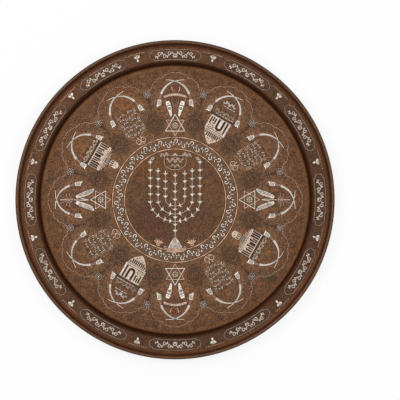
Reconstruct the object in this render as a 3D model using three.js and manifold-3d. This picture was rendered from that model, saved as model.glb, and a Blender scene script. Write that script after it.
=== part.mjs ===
import * as THREE from "three";
import { mergeVertices } from "three/addons/utils/BufferGeometryUtils.js";
import Module from "manifold-3d";

// Round beaten-brass tray with silver and copper inlay, lying face up.
// Millimetres, +Z up. The origin is under the centre of the flat well, and +Y points to the top
// of the menorah in the middle. Radii are built up from the centre outward.

// Sheet and inlay fit
const sheet = 1.4; // thickness of the tray's metal
const recessDepth = 0.6; // depth of the pocket under every inlay
const inlayProud = 0.15; // an inlay stands this far above the sheet
const inlayGap = 0.3; // open gap all round an inlay in its pocket

// Field and rings
const fieldRadius = 97.1; // clear field inside the inner ring
const ringWire = 2; // width of the wire of both rings
const bandWidth = 20.8; // plain band between the two rings

// Medallions, which fill the well between the outer ring and its edge
const medallionHeight = 110; // from the outer ring to the tips of the wreath's stems
const wellMargin = 25.1; // plain floor outside the medallions

// Step, rim, flare and wired edge
const stepRun = 11; // the wall between well and rim, measured flat
const stepRise = 9; // the rim lies this far above the well
const rimWidth = 25; // flat part of the rim
const flareRadius = 8.4; // centreline radius of the hollow flare outside the rim
const edgeWireRadius = 1.5; // iron wire inside the rolled edge
const edgeWireGap = 0.5; // between the wire and the sheet rolled round it
const curlSweep = 300; // degrees of the roll, which stays open below

// Wreaths of two crossed branches
const wreathStemReach = 18; // the stem's tip passes this far beyond the axis
const wreathFootSpan = 31.2; // the foot's middle lies this far from the axis
const wreathFootHeight = 59; // height of the foot above the outer ring
const wreathShoulderDrop = 13.4; // how far below the stems the branch's shoulder is pulled
const wreathWidths = [1.8, 2.8, 4.4, 5.4, 6.6, 9]; // from the stem's tip to the foot
const wreathFootSlant = 6; // the foot's outer corner is longer by this

// Six-pointed stars
const starRadius = 18.8; // centreline, to a corner
const starLine = 2; // width of the star's wire
const starClearance = 1.4; // from the outer ring to the star's nearest tip

// Leaves and bowed bars beside two of the stars
const leafRootOut = 15.2; // root's distance from the axis
const leafTipOut = 7.5; // tip's distance from the axis
const leafLength = 29;
const leafOverlap = 3.5; // the leaf starts this far short of the star's outer tip
const leafWidths = [1.2, 6.4, 8.8, 6]; // from the tip to the root
const barHalfSpan = 21.5;
const barBow = 3.8; // rise of the bar's middle
const barWidth = 5;
const barClearance = 6; // between the leaves' roots and the ends of the bar

// Horns beside the other two stars
const hornSpan = 19.5; // root's distance from the axis
const hornReach = 36.5; // from the roots to the joined tips
const hornOverlap = 6; // the roots lie this far short of the star's outer tip, beside it
const hornWidths = [4, 8.4, 9.4, 9.2, 7.6, 3]; // from the root to the tip

// Domed halls. A gable is the rise of the roof toward the dome, and a dome of bulge 1 starts upright.
const hallGap = 3; // between the outer ring and the dome's tip
const tallDome = { half: 19, height: 24, bulge: 0.8 };
const tallHall = { half: 21.5, height: 31, gable: 0, doors: 3 };
const smallDome = { half: 7.2, height: 22.6, bulge: 1 };
const wideHallFootGap = 5.7; // a wide hall's end lies this far inside the middle of a wreath's foot
const wideHall = { half: wreathFootSpan - wideHallFootGap, height: 26.4, gable: 7, doors: 3 };
const doorWidth = 6.5;
const doorHeight = 16;
const doorSill = 3; // metal left below a door

// Menorah in the field
const menorahBaseGap = 3.6; // between the inner ring and the menorah's foot
const menorahBell = { half: 14.1, height: 21 };
const menorahWire = 2.2; // width of shaft and arms
const menorahCrownMargin = 8.9; // between the outer arms' tops and the inner ring
const outerArm = { half: 48, joint: 51.8, bend: 39.7, drop: 0 };
const middleArm = { half: 33, joint: 65.9, bend: 27.6, drop: 17 };
const innerArm = { half: 18.8, joint: 81.5, bend: 12.5, drop: 22.3 };
const shaftDrop = 26; // the shaft's top lies this far below the outer arms' tops
const knopWidth = 9;
const knopHeight = 7;
const knopSpacing = 36.5;

// Crest over the menorah and scrolls beside its foot
const crestTopMargin = 13; // between the crest's top edge and the inner ring
const crestHalf = 21.5;
const crestHeight = 26;
const crestFootHalf = 9;
const crestWire = 1.6;
const crestPeak = { half: 5, height: 5.5 }; // small gable on its top edge
const scrollAngle = 21; // degrees from the menorah's axis
const scrollMargin = 3.5; // between a scroll and the inner ring
const scrollSize = { width: 17, height: 14.5, stem: 2.4 };

// Rim panels and the trefoils between them
const panelWire = 1.3;
const panelMargin = 2; // plain rim on both sides of a panel
const panelTip = 7; // length of a panel's rounded end
const panelGap = 19; // between a panel's tip and the trefoil next to it
const trefoil = { half: 5.6, height: 12 };

// Facets
const bodyFacets = 56;
const ringFacets = 36;

// Derived sizes
const ringInnerRadius = fieldRadius + ringWire / 2;
const ringOuterRadius = ringInnerRadius + ringWire + bandWidth;
const medallionStart = ringOuterRadius + ringWire / 2;
const wellRadius = medallionStart + medallionHeight + wellMargin;
const rimInnerRadius = wellRadius + stepRun;
const rimOuterRadius = rimInnerRadius + rimWidth;
const curlRadius = edgeWireRadius + edgeWireGap + sheet / 2;
const curlCentreRadius = rimOuterRadius + flareRadius + curlRadius;
const curlCentreZ = stepRise + sheet / 2 + flareRadius;
const wellTop = sheet;
const rimTop = stepRise + sheet;
const rimMiddle = (rimInnerRadius + rimOuterRadius) / 2;

// What each medallion holds inside its wreath, anticlockwise from the one on the +X side
const medallions = [
  "horns", "plain", "tall_hall", "leaves", "plain", "wide_hall",
  "horns", "plain", "tall_hall", "leaves", "plain", "wide_hall",
];
const pitch = (2 * Math.PI) / medallions.length;

// Finishes
const finish = (color, roughness) =>
  new THREE.MeshStandardMaterial({ color, roughness, metalness: 1 });
const brownBrass = () => finish(0x7a5a44, 0.45);
const silver = () => finish(0xcbbfae, 0.35);
const copper = () => finish(0xb98566, 0.4);
const iron = () => finish(0x4a423c, 0.6);

const wasm = await Module();
wasm.setup();

const degrees = (angle) => (angle * Math.PI) / 180;
const at = (x, y) => new THREE.Vector2(x, y);

// Point of a medallion: across its axis, and out from the outer ring. All medallions are drawn
// at the -Y side of the tray and turned into place.
const inMedallion = (across, out) => at(across, -(medallionStart + out));

// A closed geometry as a solid for joining and cutting
function toSolid(geometry) {
  const plain = geometry.clone();
  plain.deleteAttribute("normal");
  plain.deleteAttribute("uv");
  const merged = mergeVertices(plain, 1e-4);
  const index = merged.index.array;
  const triangles = [];
  for (let i = 0; i < index.length; i += 3) {
    const [a, b, c] = [index[i], index[i + 1], index[i + 2]];
    if (a !== b && b !== c && c !== a) triangles.push(a, b, c);
  }
  return new wasm.Manifold(new wasm.Mesh({
    numProp: 3,
    vertProperties: new Float32Array(merged.attributes.position.array),
    triVerts: new Uint32Array(triangles),
  }));
}

// A solid back as a geometry
function toGeometry(solid) {
  const mesh = solid.getMesh();
  const geometry = new THREE.BufferGeometry();
  geometry.setAttribute("position", new THREE.BufferAttribute(new Float32Array(mesh.vertProperties), 3));
  geometry.setIndex(new THREE.BufferAttribute(new Uint32Array(mesh.triVerts), 1));
  geometry.computeVertexNormals();
  return geometry;
}

// A profile of radius and height, turned about the Z axis
function turn(profile, facets) {
  const geometry = new THREE.LatheGeometry(profile, facets);
  geometry.rotateX(Math.PI / 2);
  return geometry;
}

// Flat outlines as one solid between two heights
function plate(outlines, bottom, top) {
  const solids = outlines.map(({ points, holes = [] }) => {
    const shape = new THREE.Shape(points);
    shape.holes = holes.map((hole) => new THREE.Path(hole));
    const geometry = new THREE.ExtrudeGeometry(shape, { depth: top - bottom, bevelEnabled: false });
    geometry.translate(0, 0, bottom);
    return toSolid(geometry);
  });
  return solids.reduce((whole, part) => whole.add(part));
}

// Sideways direction at a corner, scaled so that both edges move by one unit
function mitre(before, corner, after) {
  const along = corner.clone().sub(before).normalize();
  const onward = after.clone().sub(corner).normalize();
  const side = at(along.y, -along.x).add(at(onward.y, -onward.x)).normalize();
  return side.divideScalar(Math.max(side.dot(at(along.y, -along.x)), 0.3));
}

// A closed outline, anticlockwise, moved outward
function grown(points, distance) {
  const count = points.length;
  return points.map((point, i) => {
    const side = mitre(points[(i + count - 1) % count], point, points[(i + 1) % count]);
    return point.clone().addScaledVector(side, distance);
  });
}

// A wire that follows a closed outline, as an outline with a hole
function closedWire(points, width, grow) {
  const half = width / 2 + grow;
  return { points: grown(points, half), holes: [grown(points, -half)] };
}

// A band along a line of points. Its width is one number, or one at each point. A positive slant
// lengthens the last corner on the right-hand side.
function band(line, widths, grow, slant = 0) {
  const last = line.length - 1;
  const right = [];
  const left = [];
  line.forEach((point, i) => {
    const before = i > 0 ? line[i - 1] : point.clone().multiplyScalar(2).sub(line[1]);
    const after = i < last ? line[i + 1] : point.clone().multiplyScalar(2).sub(line[last - 1]);
    const side = mitre(before, point, after);
    const half = (Array.isArray(widths) ? widths[i] : widths) / 2 + grow;
    const along = after.clone().sub(before).normalize();
    const shift = i === 0 ? -grow : i === last ? grow : 0;
    const middle = point.clone().addScaledVector(along, shift);
    const lengthened = i === last ? slant : 0;
    right.push(middle.clone().addScaledVector(side, half).addScaledVector(along, lengthened));
    left.unshift(middle.clone().addScaledVector(side, -half));
  });
  return { points: [...right, ...left] };
}

// Mirror a line, an outline or a symmetric half about the Y axis
const mirrorPoint = (point) => at(-point.x, point.y);
const mirrored = (points) => points.map(mirrorPoint).reverse();
const mirroredOutline = ({ points }) => ({ points: mirrored(points) });
const closeHalf = (half) => [...half, ...mirrored(half.filter((point) => point.x > 0))];

// Section of the sheet: its centreline, with the angle that faces the upper side
function sheetCentreline(flareSteps, curlSteps) {
  const line = [{ r: 0, z: sheet / 2, angle: 90 }];
  const arc = (r, z, radius, from, to, steps, first, outward) => {
    for (let i = first; i <= steps; i += 1) {
      const angle = from + ((to - from) * i) / steps;
      line.push({
        r: r + radius * Math.cos(degrees(angle)),
        z: z + radius * Math.sin(degrees(angle)),
        angle: outward ? angle : angle + 180,
      });
    }
  };
  const stepTurn = (2 * Math.atan(stepRise / stepRun) * 180) / Math.PI;
  const stepRadius = stepRun / (2 * Math.sin(degrees(stepTurn)));
  const rimZ = stepRise + sheet / 2;
  arc(wellRadius, sheet / 2 + stepRadius, stepRadius, -90, stepTurn - 90, 2, 0, false);
  arc(rimInnerRadius, rimZ - stepRadius, stepRadius, stepTurn + 90, 90, 2, 1, true);
  arc(rimOuterRadius, rimZ + flareRadius, flareRadius, -90, 0, flareSteps, 0, false);
  arc(curlCentreRadius, curlCentreZ, curlRadius, 180, 180 - curlSweep, curlSteps, 1, true);
  return line;
}

// The sheet turned about the axis. Inside the roll its face has fewer facets than outside.
function trayBlank() {
  const face = (side, line) => line.map(({ r, z, angle }) => {
    const offset = (side * sheet) / 2;
    const faceRadius = r === 0 ? 0 : r + offset * Math.cos(degrees(angle));
    return at(faceRadius, z + offset * Math.sin(degrees(angle)));
  });
  const under = face(-1, sheetCentreline(3, 5));
  const upper = face(1, sheetCentreline(3, 8));
  return turn([...under, ...upper.reverse()], bodyFacets);
}

// Rings of wire round the field
function ringProfile(radius, grow, bottom, top) {
  const inner = radius - ringWire / 2 - grow;
  const outer = radius + ringWire / 2 + grow;
  return [at(inner, bottom), at(outer, bottom), at(outer, top), at(inner, top), at(inner, bottom)];
}

// Wreath: one branch drawn, the other mirrored
function wreath(grow) {
  const tip = inMedallion(-wreathStemReach, medallionHeight);
  const bend = inMedallion(wreathFootSpan * 0.33, medallionHeight);
  const shoulder = inMedallion(wreathFootSpan * 0.955, medallionHeight - wreathShoulderDrop);
  const foot = inMedallion(wreathFootSpan, wreathFootHeight);
  const curve = new THREE.CubicBezierCurve(tip, bend, shoulder, foot);
  const branch = band(curve.getPoints(wreathWidths.length - 1), wreathWidths, grow, wreathFootSlant);
  return [branch, mirroredOutline(branch)];
}

// Star of two crossed triangles of wire
const starCentre = starClearance + starLine + starRadius;
const starCrossing = starRadius / Math.sqrt(3);

function regular(centre, radius, sides, start) {
  return Array.from({ length: sides }, (_, i) => {
    const angle = degrees(start + (360 * i) / sides);
    return centre.clone().add(at(radius * Math.cos(angle), radius * Math.sin(angle)));
  });
}

function star(grow) {
  const centre = inMedallion(0, starCentre);
  const wire = starLine + 2 * grow;
  const tips = regular(centre, starRadius + wire, 6, 90);
  const notches = regular(centre, starCrossing + wire / Math.sqrt(3), 6, 120);
  return [{ points: tips.flatMap((tip, i) => [tip, notches[i]]) }];
}

// The star's middle and its six small corners are open
function starOpenings(grow) {
  const centre = inMedallion(0, starCentre);
  const wire = starLine + 2 * grow;
  const corners = regular(centre, (2 * starRadius) / 3, 6, 90);
  const windows = corners.map((corner, i) => regular(corner, starRadius / 3 - wire, 3, 90 + 60 * i));
  const core = regular(centre, starCrossing - wire / Math.sqrt(3), 6, 120);
  return [core, ...windows].map((points) => ({ points }));
}

// Leaves that lean together over a star, and the bar beyond them
const starEnd = starCentre + starRadius + starLine;
const leavesStart = starEnd - leafOverlap;
function leaf(side, grow) {
  const tip = inMedallion(leafTipOut, leavesStart);
  const belly = inMedallion((leafTipOut + leafRootOut) / 2 - 1.5, leavesStart + leafLength / 2);
  const root = inMedallion(leafRootOut, leavesStart + leafLength);
  const curve = new THREE.QuadraticBezierCurve(tip, belly, root);
  const outline = band(curve.getPoints(leafWidths.length - 1), leafWidths, grow);
  return [side < 0 ? mirroredOutline(outline) : outline];
}

function bowedBar(grow) {
  const ends = leavesStart + leafLength + barClearance + barWidth / 2;
  const curve = new THREE.QuadraticBezierCurve(
    inMedallion(-barHalfSpan, ends),
    inMedallion(0, ends + 2 * barBow),
    inMedallion(barHalfSpan, ends),
  );
  return [band(curve.getPoints(4), barWidth, grow)];
}

// Pair of horns, each an S, whose tips meet on the axis
function hornPair(grow) {
  const rootOut = starEnd - hornOverlap;
  const root = inMedallion(hornSpan, rootOut);
  const neck = inMedallion(hornSpan * 0.51, rootOut + hornReach * 0.2);
  const belly = inMedallion(hornSpan * 0.54, rootOut + hornReach * 0.66);
  const tip = inMedallion(-hornWidths.at(-1) / 4, rootOut + hornReach);
  const curve = new THREE.CubicBezierCurve(root, neck, belly, tip);
  const horn = band(curve.getPoints(hornWidths.length - 1), hornWidths, grow);
  return [horn, mirroredOutline(horn)];
}

// Hall with a dome toward the tray's centre, and doors in its front
function domedHall(hall, dome, grow) {
  const wallTop = hallGap + dome.height + hall.gable;
  const floor = wallTop + hall.height;
  const half = [inMedallion(hall.half, floor), inMedallion(hall.half, wallTop)];
  const domeCurve = new THREE.QuadraticBezierCurve(
    inMedallion(dome.half, hallGap + dome.height),
    inMedallion(dome.half * dome.bulge, hallGap + dome.height * 0.4),
    inMedallion(0, hallGap),
  );
  half.push(...domeCurve.getPoints(4));
  return [{ points: grown(closeHalf(half), grow) }];
}

// Openings of a hall, evenly spaced along its front
function hallDoors(hall, dome, grow) {
  const floor = hallGap + dome.height + hall.gable + hall.height - doorSill;
  const space = (2 * hall.half) / hall.doors;
  return Array.from({ length: hall.doors }, (_, i) => {
    const middle = (i - (hall.doors - 1) / 2) * space;
    const corners = [
      inMedallion(middle - doorWidth / 2, floor),
      inMedallion(middle + doorWidth / 2, floor),
      inMedallion(middle + doorWidth / 2, floor - doorHeight + doorWidth / 2),
      inMedallion(middle, floor - doorHeight),
      inMedallion(middle - doorWidth / 2, floor - doorHeight + doorWidth / 2),
    ];
    return { points: grown(corners, -grow) };
  });
}

// Menorah: shaft, three pairs of arms, knops and bell foot
const menorahFloor = -(fieldRadius - menorahBaseGap);
const menorahCrown = Math.sqrt((fieldRadius - menorahCrownMargin) ** 2 - outerArm.half ** 2);

function knopsAlong(path, grow) {
  const length = path.getLength();
  const knops = [];
  for (let reach = 0; reach < length - knopHeight; reach += knopSpacing) {
    const middle = path.getPointAt(reach / length);
    const along = path.getTangentAt(reach / length);
    const side = at(along.y, -along.x);
    const back = middle.clone();
    const corners = [
      back.clone().addScaledVector(side, knopWidth / 2),
      back.clone().addScaledVector(side, -knopWidth / 2),
      back.clone().addScaledVector(along, knopHeight),
    ];
    const outline = THREE.ShapeUtils.isClockWise(corners) ? corners.reverse() : corners;
    knops.push({ points: grown(outline, grow) });
  }
  return knops;
}

function menorah(grow) {
  const shaft = new THREE.Path();
  shaft.moveTo(0, menorahCrown - shaftDrop);
  shaft.lineTo(0, menorahFloor + menorahBell.height / 2);
  const parts = [band(shaft.getPoints(), menorahWire, grow), ...knopsAlong(shaft, grow)];
  for (const arm of [outerArm, middleArm, innerArm]) {
    const bendTop = menorahFloor + arm.joint + arm.bend;
    const path = new THREE.Path();
    path.moveTo(arm.half, menorahCrown - arm.drop);
    path.lineTo(arm.half, bendTop);
    path.absellipse(0, bendTop, arm.half, arm.bend, 0, -Math.PI / 2, true);
    const line = path.getPoints(2);
    const knops = knopsAlong(path, grow);
    parts.push(band([...line, ...mirrored(line).slice(1)], menorahWire, grow));
    parts.push(...knops, ...knops.map(mirroredOutline));
  }
  const bell = new THREE.QuadraticBezierCurve(
    at(menorahBell.half, menorahFloor),
    at(menorahBell.half * 0.72, menorahFloor + menorahBell.height * 0.55),
    at(menorahWire / 2, menorahFloor + menorahBell.height),
  );
  parts.push({ points: grown(closeHalf(bell.getPoints(3)), grow) });
  return parts;
}

// Crest: an open frame of wire over the menorah, with a small peak
function crest(grow) {
  const top = fieldRadius - crestTopMargin;
  const foot = top - crestHeight;
  const side = new THREE.QuadraticBezierCurve(
    at(crestFootHalf, foot + crestHeight * 0.25),
    at(crestHalf * 1.1, foot + crestHeight * 0.45),
    at(crestHalf, top),
  );
  const peak = [at(crestPeak.half, top), at(0, top + crestPeak.height)];
  const half = [at(crestFootHalf, foot), ...side.getPoints(3), ...peak];
  return [closedWire(closeHalf(half), crestWire, grow)];
}

// Scroll beside the menorah's foot, drawn on the -Y axis
function scroll(grow) {
  const foot = -(fieldRadius - scrollMargin);
  const half = [
    at(scrollSize.stem / 2, foot),
    at(scrollSize.stem / 2, foot + scrollSize.height * 0.4),
    at(scrollSize.width / 2, foot + scrollSize.height * 0.55),
    at(scrollSize.width * 0.42, foot + scrollSize.height),
    at(scrollSize.width * 0.12, foot + scrollSize.height * 0.72),
  ];
  return [{ points: grown([...half, at(0, foot + scrollSize.height), ...mirrored(half)], grow) }];
}

// Panel on the rim: a wire frame with rounded ends, which fills the space between two trefoils
function rimPanel(grow) {
  const inner = rimInnerRadius + panelMargin + panelWire / 2;
  const outer = rimOuterRadius - panelMargin - panelWire / 2;
  const tipAngle = pitch / 2 - (trefoil.half + panelGap) / rimMiddle;
  const shoulder = tipAngle - panelTip / rimMiddle;
  const onRim = (radius, angle) => at(radius * Math.sin(angle), -radius * Math.cos(angle));
  const sweep = [-1, 0, 1].map((share) => share * shoulder);
  const quarter = (outer - inner) / 4;
  return [closedWire([
    ...sweep.map((angle) => onRim(outer, angle)),
    onRim(rimMiddle + quarter, tipAngle),
    onRim(rimMiddle - quarter, tipAngle),
    ...sweep.map((angle) => onRim(inner, -angle)),
    onRim(rimMiddle - quarter, -tipAngle),
    onRim(rimMiddle + quarter, -tipAngle),
  ], panelWire, grow)];
}

// Trefoil on the rim, its middle lobe toward the centre
function rimTrefoil(grow) {
  const { half: wide, height } = trefoil;
  const y = (share) => -rimMiddle + height * share;
  const half = [at(wide * 0.3, y(-0.5)), at(wide, y(0)), at(wide * 0.3, y(0.15))];
  return [{ points: grown([...half, at(0, y(0.5)), ...mirrored(half)], grow) }];
}

// Every inlay has a pocket of the same outline, wider by the gap
const tray = new THREE.Group();
const pockets = [];

function addMesh(name, geometry, material, turned = 0) {
  const mesh = new THREE.Mesh(geometry, material);
  mesh.name = name;
  mesh.rotation.z = turned;
  tray.add(mesh);
}

function addInlay(name, draw, material, surface, turned = 0, drawOpenings = null) {
  const floor = surface - recessDepth;
  const cut = (grow, top) => {
    const solid = plate(draw(grow), floor, top);
    return drawOpenings ? solid.subtract(plate(drawOpenings(grow), floor - 1, top + 1)) : solid;
  };
  addMesh(name, toGeometry(cut(0, surface + inlayProud)), material, turned);
  pockets.push(cut(inlayGap, surface + 1).rotate([0, 0, (turned * 180) / Math.PI]));
}

function addRing(name, radius) {
  const floor = wellTop - recessDepth;
  addMesh(name, turn(ringProfile(radius, 0, floor, wellTop + inlayProud), ringFacets), copper());
  pockets.push(toSolid(turn(ringProfile(radius, inlayGap, floor, wellTop + 1), ringFacets)));
}

addRing("ring_inner", ringInnerRadius);
addRing("ring_outer", ringOuterRadius);
addInlay("menorah", menorah, silver(), wellTop);
addInlay("crest_frame", crest, silver(), wellTop);
addInlay("scroll_left", scroll, copper(), wellTop, -degrees(scrollAngle));
addInlay("scroll_right", scroll, copper(), wellTop, degrees(scrollAngle));

medallions.forEach((kind, i) => {
  const number = String(i + 1).padStart(2, "0");
  const turned = i * pitch + Math.PI / 2;
  const between = turned + pitch / 2;
  addInlay(`wreath_${number}`, wreath, silver(), wellTop, turned);
  addInlay(`rim_panel_${number}`, rimPanel, silver(), rimTop, turned);
  addInlay(`rim_trefoil_${number}`, rimTrefoil, silver(), rimTop, between);
  if (kind === "leaves" || kind === "horns") {
    addInlay(`star_${number}`, star, silver(), wellTop, turned, starOpenings);
  }
  if (kind === "leaves") {
    addInlay(`leaf_left_${number}`, (grow) => leaf(-1, grow), silver(), wellTop, turned);
    addInlay(`leaf_right_${number}`, (grow) => leaf(1, grow), silver(), wellTop, turned);
    addInlay(`bowed_bar_${number}`, bowedBar, silver(), wellTop, turned);
  }
  if (kind === "horns") {
    addInlay(`horn_pair_${number}`, hornPair, silver(), wellTop, turned);
  }
  if (kind === "tall_hall" || kind === "wide_hall") {
    const [hall, dome] = kind === "tall_hall" ? [tallHall, tallDome] : [wideHall, smallDome];
    const walls = (grow) => domedHall(hall, dome, grow);
    const doors = (grow) => hallDoors(hall, dome, grow);
    addInlay(`${kind}_${number}`, walls, silver(), wellTop, turned, doors);
  }
});

// Wire core of the rolled edge
const edgeWire = new THREE.TorusGeometry(curlCentreRadius, edgeWireRadius, 6, bodyFacets);
edgeWire.translate(0, 0, curlCentreZ);
addMesh("edge_wire", edgeWire, iron());

// The tray itself, with every pocket cut
const cutter = pockets.reduce((whole, pocket) => whole.add(pocket));
addMesh("tray_body", toGeometry(toSolid(trayBlank()).subtract(cutter)), brownBrass());

export default tray;
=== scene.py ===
import random
from math import atan2, cos, degrees, hypot, pi, radians, sin, sqrt

import bpy
import numpy as np
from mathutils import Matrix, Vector
from mathutils.geometry import tessellate_polygon


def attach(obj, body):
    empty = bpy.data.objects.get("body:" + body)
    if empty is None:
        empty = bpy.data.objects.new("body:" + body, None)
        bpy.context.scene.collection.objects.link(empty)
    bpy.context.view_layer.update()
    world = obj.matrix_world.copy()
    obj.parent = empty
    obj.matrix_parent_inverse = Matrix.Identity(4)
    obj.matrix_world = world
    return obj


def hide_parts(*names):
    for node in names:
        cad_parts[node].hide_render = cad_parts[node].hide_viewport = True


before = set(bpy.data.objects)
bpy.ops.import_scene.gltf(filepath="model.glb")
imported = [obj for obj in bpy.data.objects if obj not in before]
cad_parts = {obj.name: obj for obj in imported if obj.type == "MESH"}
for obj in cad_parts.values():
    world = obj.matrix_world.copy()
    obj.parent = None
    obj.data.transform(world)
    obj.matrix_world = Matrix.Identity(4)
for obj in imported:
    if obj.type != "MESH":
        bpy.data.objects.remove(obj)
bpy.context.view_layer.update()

# The tray's looks: darkened brass, silver and copper inlay, engraving, floor, light and camera.
# Shapes are worked out in millimetres with the tray's centre at the origin, and become metres
# when a piece is made. A medallion's points are (across, radius), with 0 across on its own axis.

MM = 0.001
TURN = 2 * pi

# Heights
WELL = 1.4  # face of the well
RIM = 10.4  # face of the rim
SHEET = 1.4  # thickness of the metal
SEAT = 0.6  # depth of the pocket under an inlay
PROUD = 0.15  # an inlay stands this far above the sheet
CUT = 0.035  # engraved lines and the dark solder round an inlay, above the sheet
SCRATCH = 0.025  # a line cut into an inlay's own face, above that face
SUNK = 0.004  # the foot of an engraved line, under the face it is cut in

# Rounding of upper edges
BEVEL = 0.22  # inlays
SLIM = 0.15  # thin trim
FINE = 0.02  # solder and punched dots

# Radii
RING_IN, RING_OUT = 98.1, 120.9
BAND = (RING_IN + RING_OUT) / 2
STAR = 144.1
WELL_EDGE = 257.0
RIM_IN, RIM_OUT = 268.0, 293.0
RIM_MID = (RIM_IN + RIM_OUT) / 2
RIM_PLAIN = 281  # middle of the rim's stains
FLARE = 8.4  # centreline radius of the flare outside the rim
ROLL = 2.7  # centreline radius of the rolled edge
PITCH = pi / 6
KINDS = ["horns", "plain", "tall_hall", "leaves", "plain", "wide_hall"] * 2
STARRED = ("horns", "leaves")
SECTORS = 12
ROSETTE, TWIG, FLOWER = 155, 192, 210  # what stands between two medallions

# The menorah: the foot's height, and each pair of arms as (half width, joint, bend, drop of its ends,
# spacing of its knops, how many)
FLOOR = -93.5
CROWN = sqrt(88.2 ** 2 - 48 ** 2)
SHAFT_TOP = CROWN - 26
ARMS = [(48, 51.8, 39.7, 0, 15.4, 9), (33, 65.9, 27.6, 17, 15.2, 6), (18.8, 81.5, 12.5, 22.3, 14.6, 4)]
SHAFT_KNOPS = (1.5, 16.9, 32.2, 47.6, 66.8, 82.0, 96.0, 108.0)
BELL_HALF, BELL_HEIGHT = 14.1, 21


# Points and paths

def pts(*pairs):
    return np.array(pairs, float)


def bezier(a, b, c, d, steps):
    t = np.linspace(0, 1, steps + 1)[:, None]
    a, b, c, d = pts(a, b, c, d)
    return a * (1 - t) ** 3 + 3 * b * t * (1 - t) ** 2 + 3 * c * t * t * (1 - t) + d * t ** 3


def quad(a, b, c, steps=12):
    t = np.linspace(0, 1, steps + 1)[:, None]
    a, b, c = pts(a, b, c)
    return a * (1 - t) ** 2 + 2 * b * t * (1 - t) + c * t * t


def arc(x, y, rx, ry, start, end, steps):
    a = np.radians(np.linspace(start, end, steps + 1))
    return np.c_[x + rx * np.cos(a), y + ry * np.sin(a)]


def circle(radius, steps=300):
    return arc(0, 0, radius, radius, 0, 360 - 360 / steps, steps - 1)


def mirror(points):
    return np.asarray(points, float) * (-1, 1)


def both_sides(half):
    """A closed outline from its half, which starts and ends on the axis or beside it."""
    other = mirror(half)[::-1]
    keep = np.abs(other[:, 0]) > 1e-6
    return np.r_[half, other[keep]]


def length_of(path):
    return float(np.sum(np.hypot(*np.diff(path, axis=0).T)))


def along(path, share):
    """Points and unit directions at these shares of a path's length."""
    path = np.asarray(path, float)
    reach = np.r_[0, np.cumsum(np.hypot(*np.diff(path, axis=0).T))]
    s = np.atleast_1d(np.asarray(share, float)) * reach[-1]

    def at(where):
        return np.c_[np.interp(where, reach, path[:, 0]), np.interp(where, reach, path[:, 1])]
    way = at(s + 0.3) - at(s - 0.3)
    return at(s), way / np.hypot(*way.T)[:, None]


def between(path, start, end, steps=20):
    return along(path, np.linspace(start, end, steps))[0]


def spread(path, step):
    """A closed path with points no further apart than this."""
    found = []
    for a, b in zip(path, np.roll(path, -1, 0)):
        count = max(1, round(np.hypot(*(b - a)) / step))
        found += [a + (b - a) * k / count for k in range(count)]
    return np.array(found)


def dashed(path, dash, gap, width):
    """A path cut into dashes, as a motif."""
    total = length_of(path)
    starts = [k * (dash + gap) / total for k in range(max(1, int(total // (dash + gap))))]
    return [(between(path, start, start + dash / total, 3), width) for start in starts]


def leftward(path, closed=False):
    """The way to the left of a path at each point, longer at corners so that edges stay parallel."""
    p = np.asarray(path, float)
    ahead = np.roll(p, -1, 0) - p
    ahead /= np.maximum(np.hypot(*ahead.T), 1e-9)[:, None]
    if not closed:
        ahead[-1] = ahead[-2]
    before = np.roll(ahead, 1, 0)
    if not closed:
        before[0] = ahead[0]
    left = np.c_[-ahead[:, 1], ahead[:, 0]]
    both = left + np.c_[-before[:, 1], before[:, 0]]
    return both / np.maximum(np.sum(both * left, axis=1), 0.5)[:, None]


def area(loop):
    x, y = np.asarray(loop, float).T
    return 0.5 * float(np.sum(x * np.roll(y, -1) - y * np.roll(x, -1)))


def anticlockwise(loop):
    loop = np.asarray(loop, float)
    return loop if area(loop) > 0 else loop[::-1]


def inset(loop, by):
    """A loop moved to its left by this much, so an anticlockwise one shrinks."""
    return np.asarray(loop, float) + leftward(loop, True) * by


def outline_of(path, widths):
    """The outline of a band of these widths along a path."""
    side = leftward(path) * (np.broadcast_to(widths, len(path)) / 2)[:, None]
    return np.r_[path + side, (path - side)[::-1]]


def turned(points, angle):
    c, s = cos(angle), sin(angle)
    p = np.asarray(points, float)
    return np.c_[p[:, 0] * c - p[:, 1] * s, p[:, 0] * s + p[:, 1] * c]


# Maps from a motif's own points to the tray's

def here(points):
    return np.asarray(points, float)


def in_medallion(i):
    """From (across, radius), for the medallion i, counted anticlockwise from +X."""
    return lambda points: turned(np.asarray(points, float) * (1, -1), i * PITCH + pi / 2)


def on_ring(radius, angle):
    """From (length along, height outward), on an arc of this radius about this angle."""
    def via(points):
        p = np.asarray(points, float)
        a = angle - p[:, 0] / radius
        r = radius + p[:, 1]
        return np.c_[r * np.cos(a), r * np.sin(a)]
    return via


def moved(x, y, angle=0.0, scale=1.0, via=here):
    """From a motif placed at this point, turned and scaled, and then by via."""
    return lambda points: via(turned(np.asarray(points, float) * scale, angle) + (x, y))


def flipped(via, flip):
    return lambda points: via(np.asarray(points) * (flip, 1))


# Forms of the ornament. A motif is a list of wires, (path, width), and plates, (outline, None).

def curl(x, y, heading, size, hand, turns, steps, least=0.22):
    """A line that rolls itself up, its radius falling from size to the share least of it."""
    found = [(x, y)]
    step = turns * TURN / steps
    for k in range(steps):
        reach = size * (1 - (1 - least) * k / (steps - 1)) * step
        x += reach * cos(heading)
        y += reach * sin(heading)
        heading += hand * step
        found.append((x, y))
    return np.array(found)


def roll(x, y, angle, *rest):
    """A curl with its heading in degrees."""
    return curl(x, y, radians(angle), *rest)


def leaf_shape(x, y, heading, length, width, steps=5):
    t = np.linspace(0, 1, steps + 1)
    half = width / 2 * np.sin(np.pi * t) ** 0.75
    upper = np.c_[length * t, half]
    lower = np.c_[length * t, -half][1:-1][::-1]
    return turned(np.r_[upper, lower], heading) + (x, y)


def dot_shape(x, y, size, steps=7):
    return arc(x, y, size / 2, size / 2, 0, 360 - 360 / steps, steps - 1)


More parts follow.
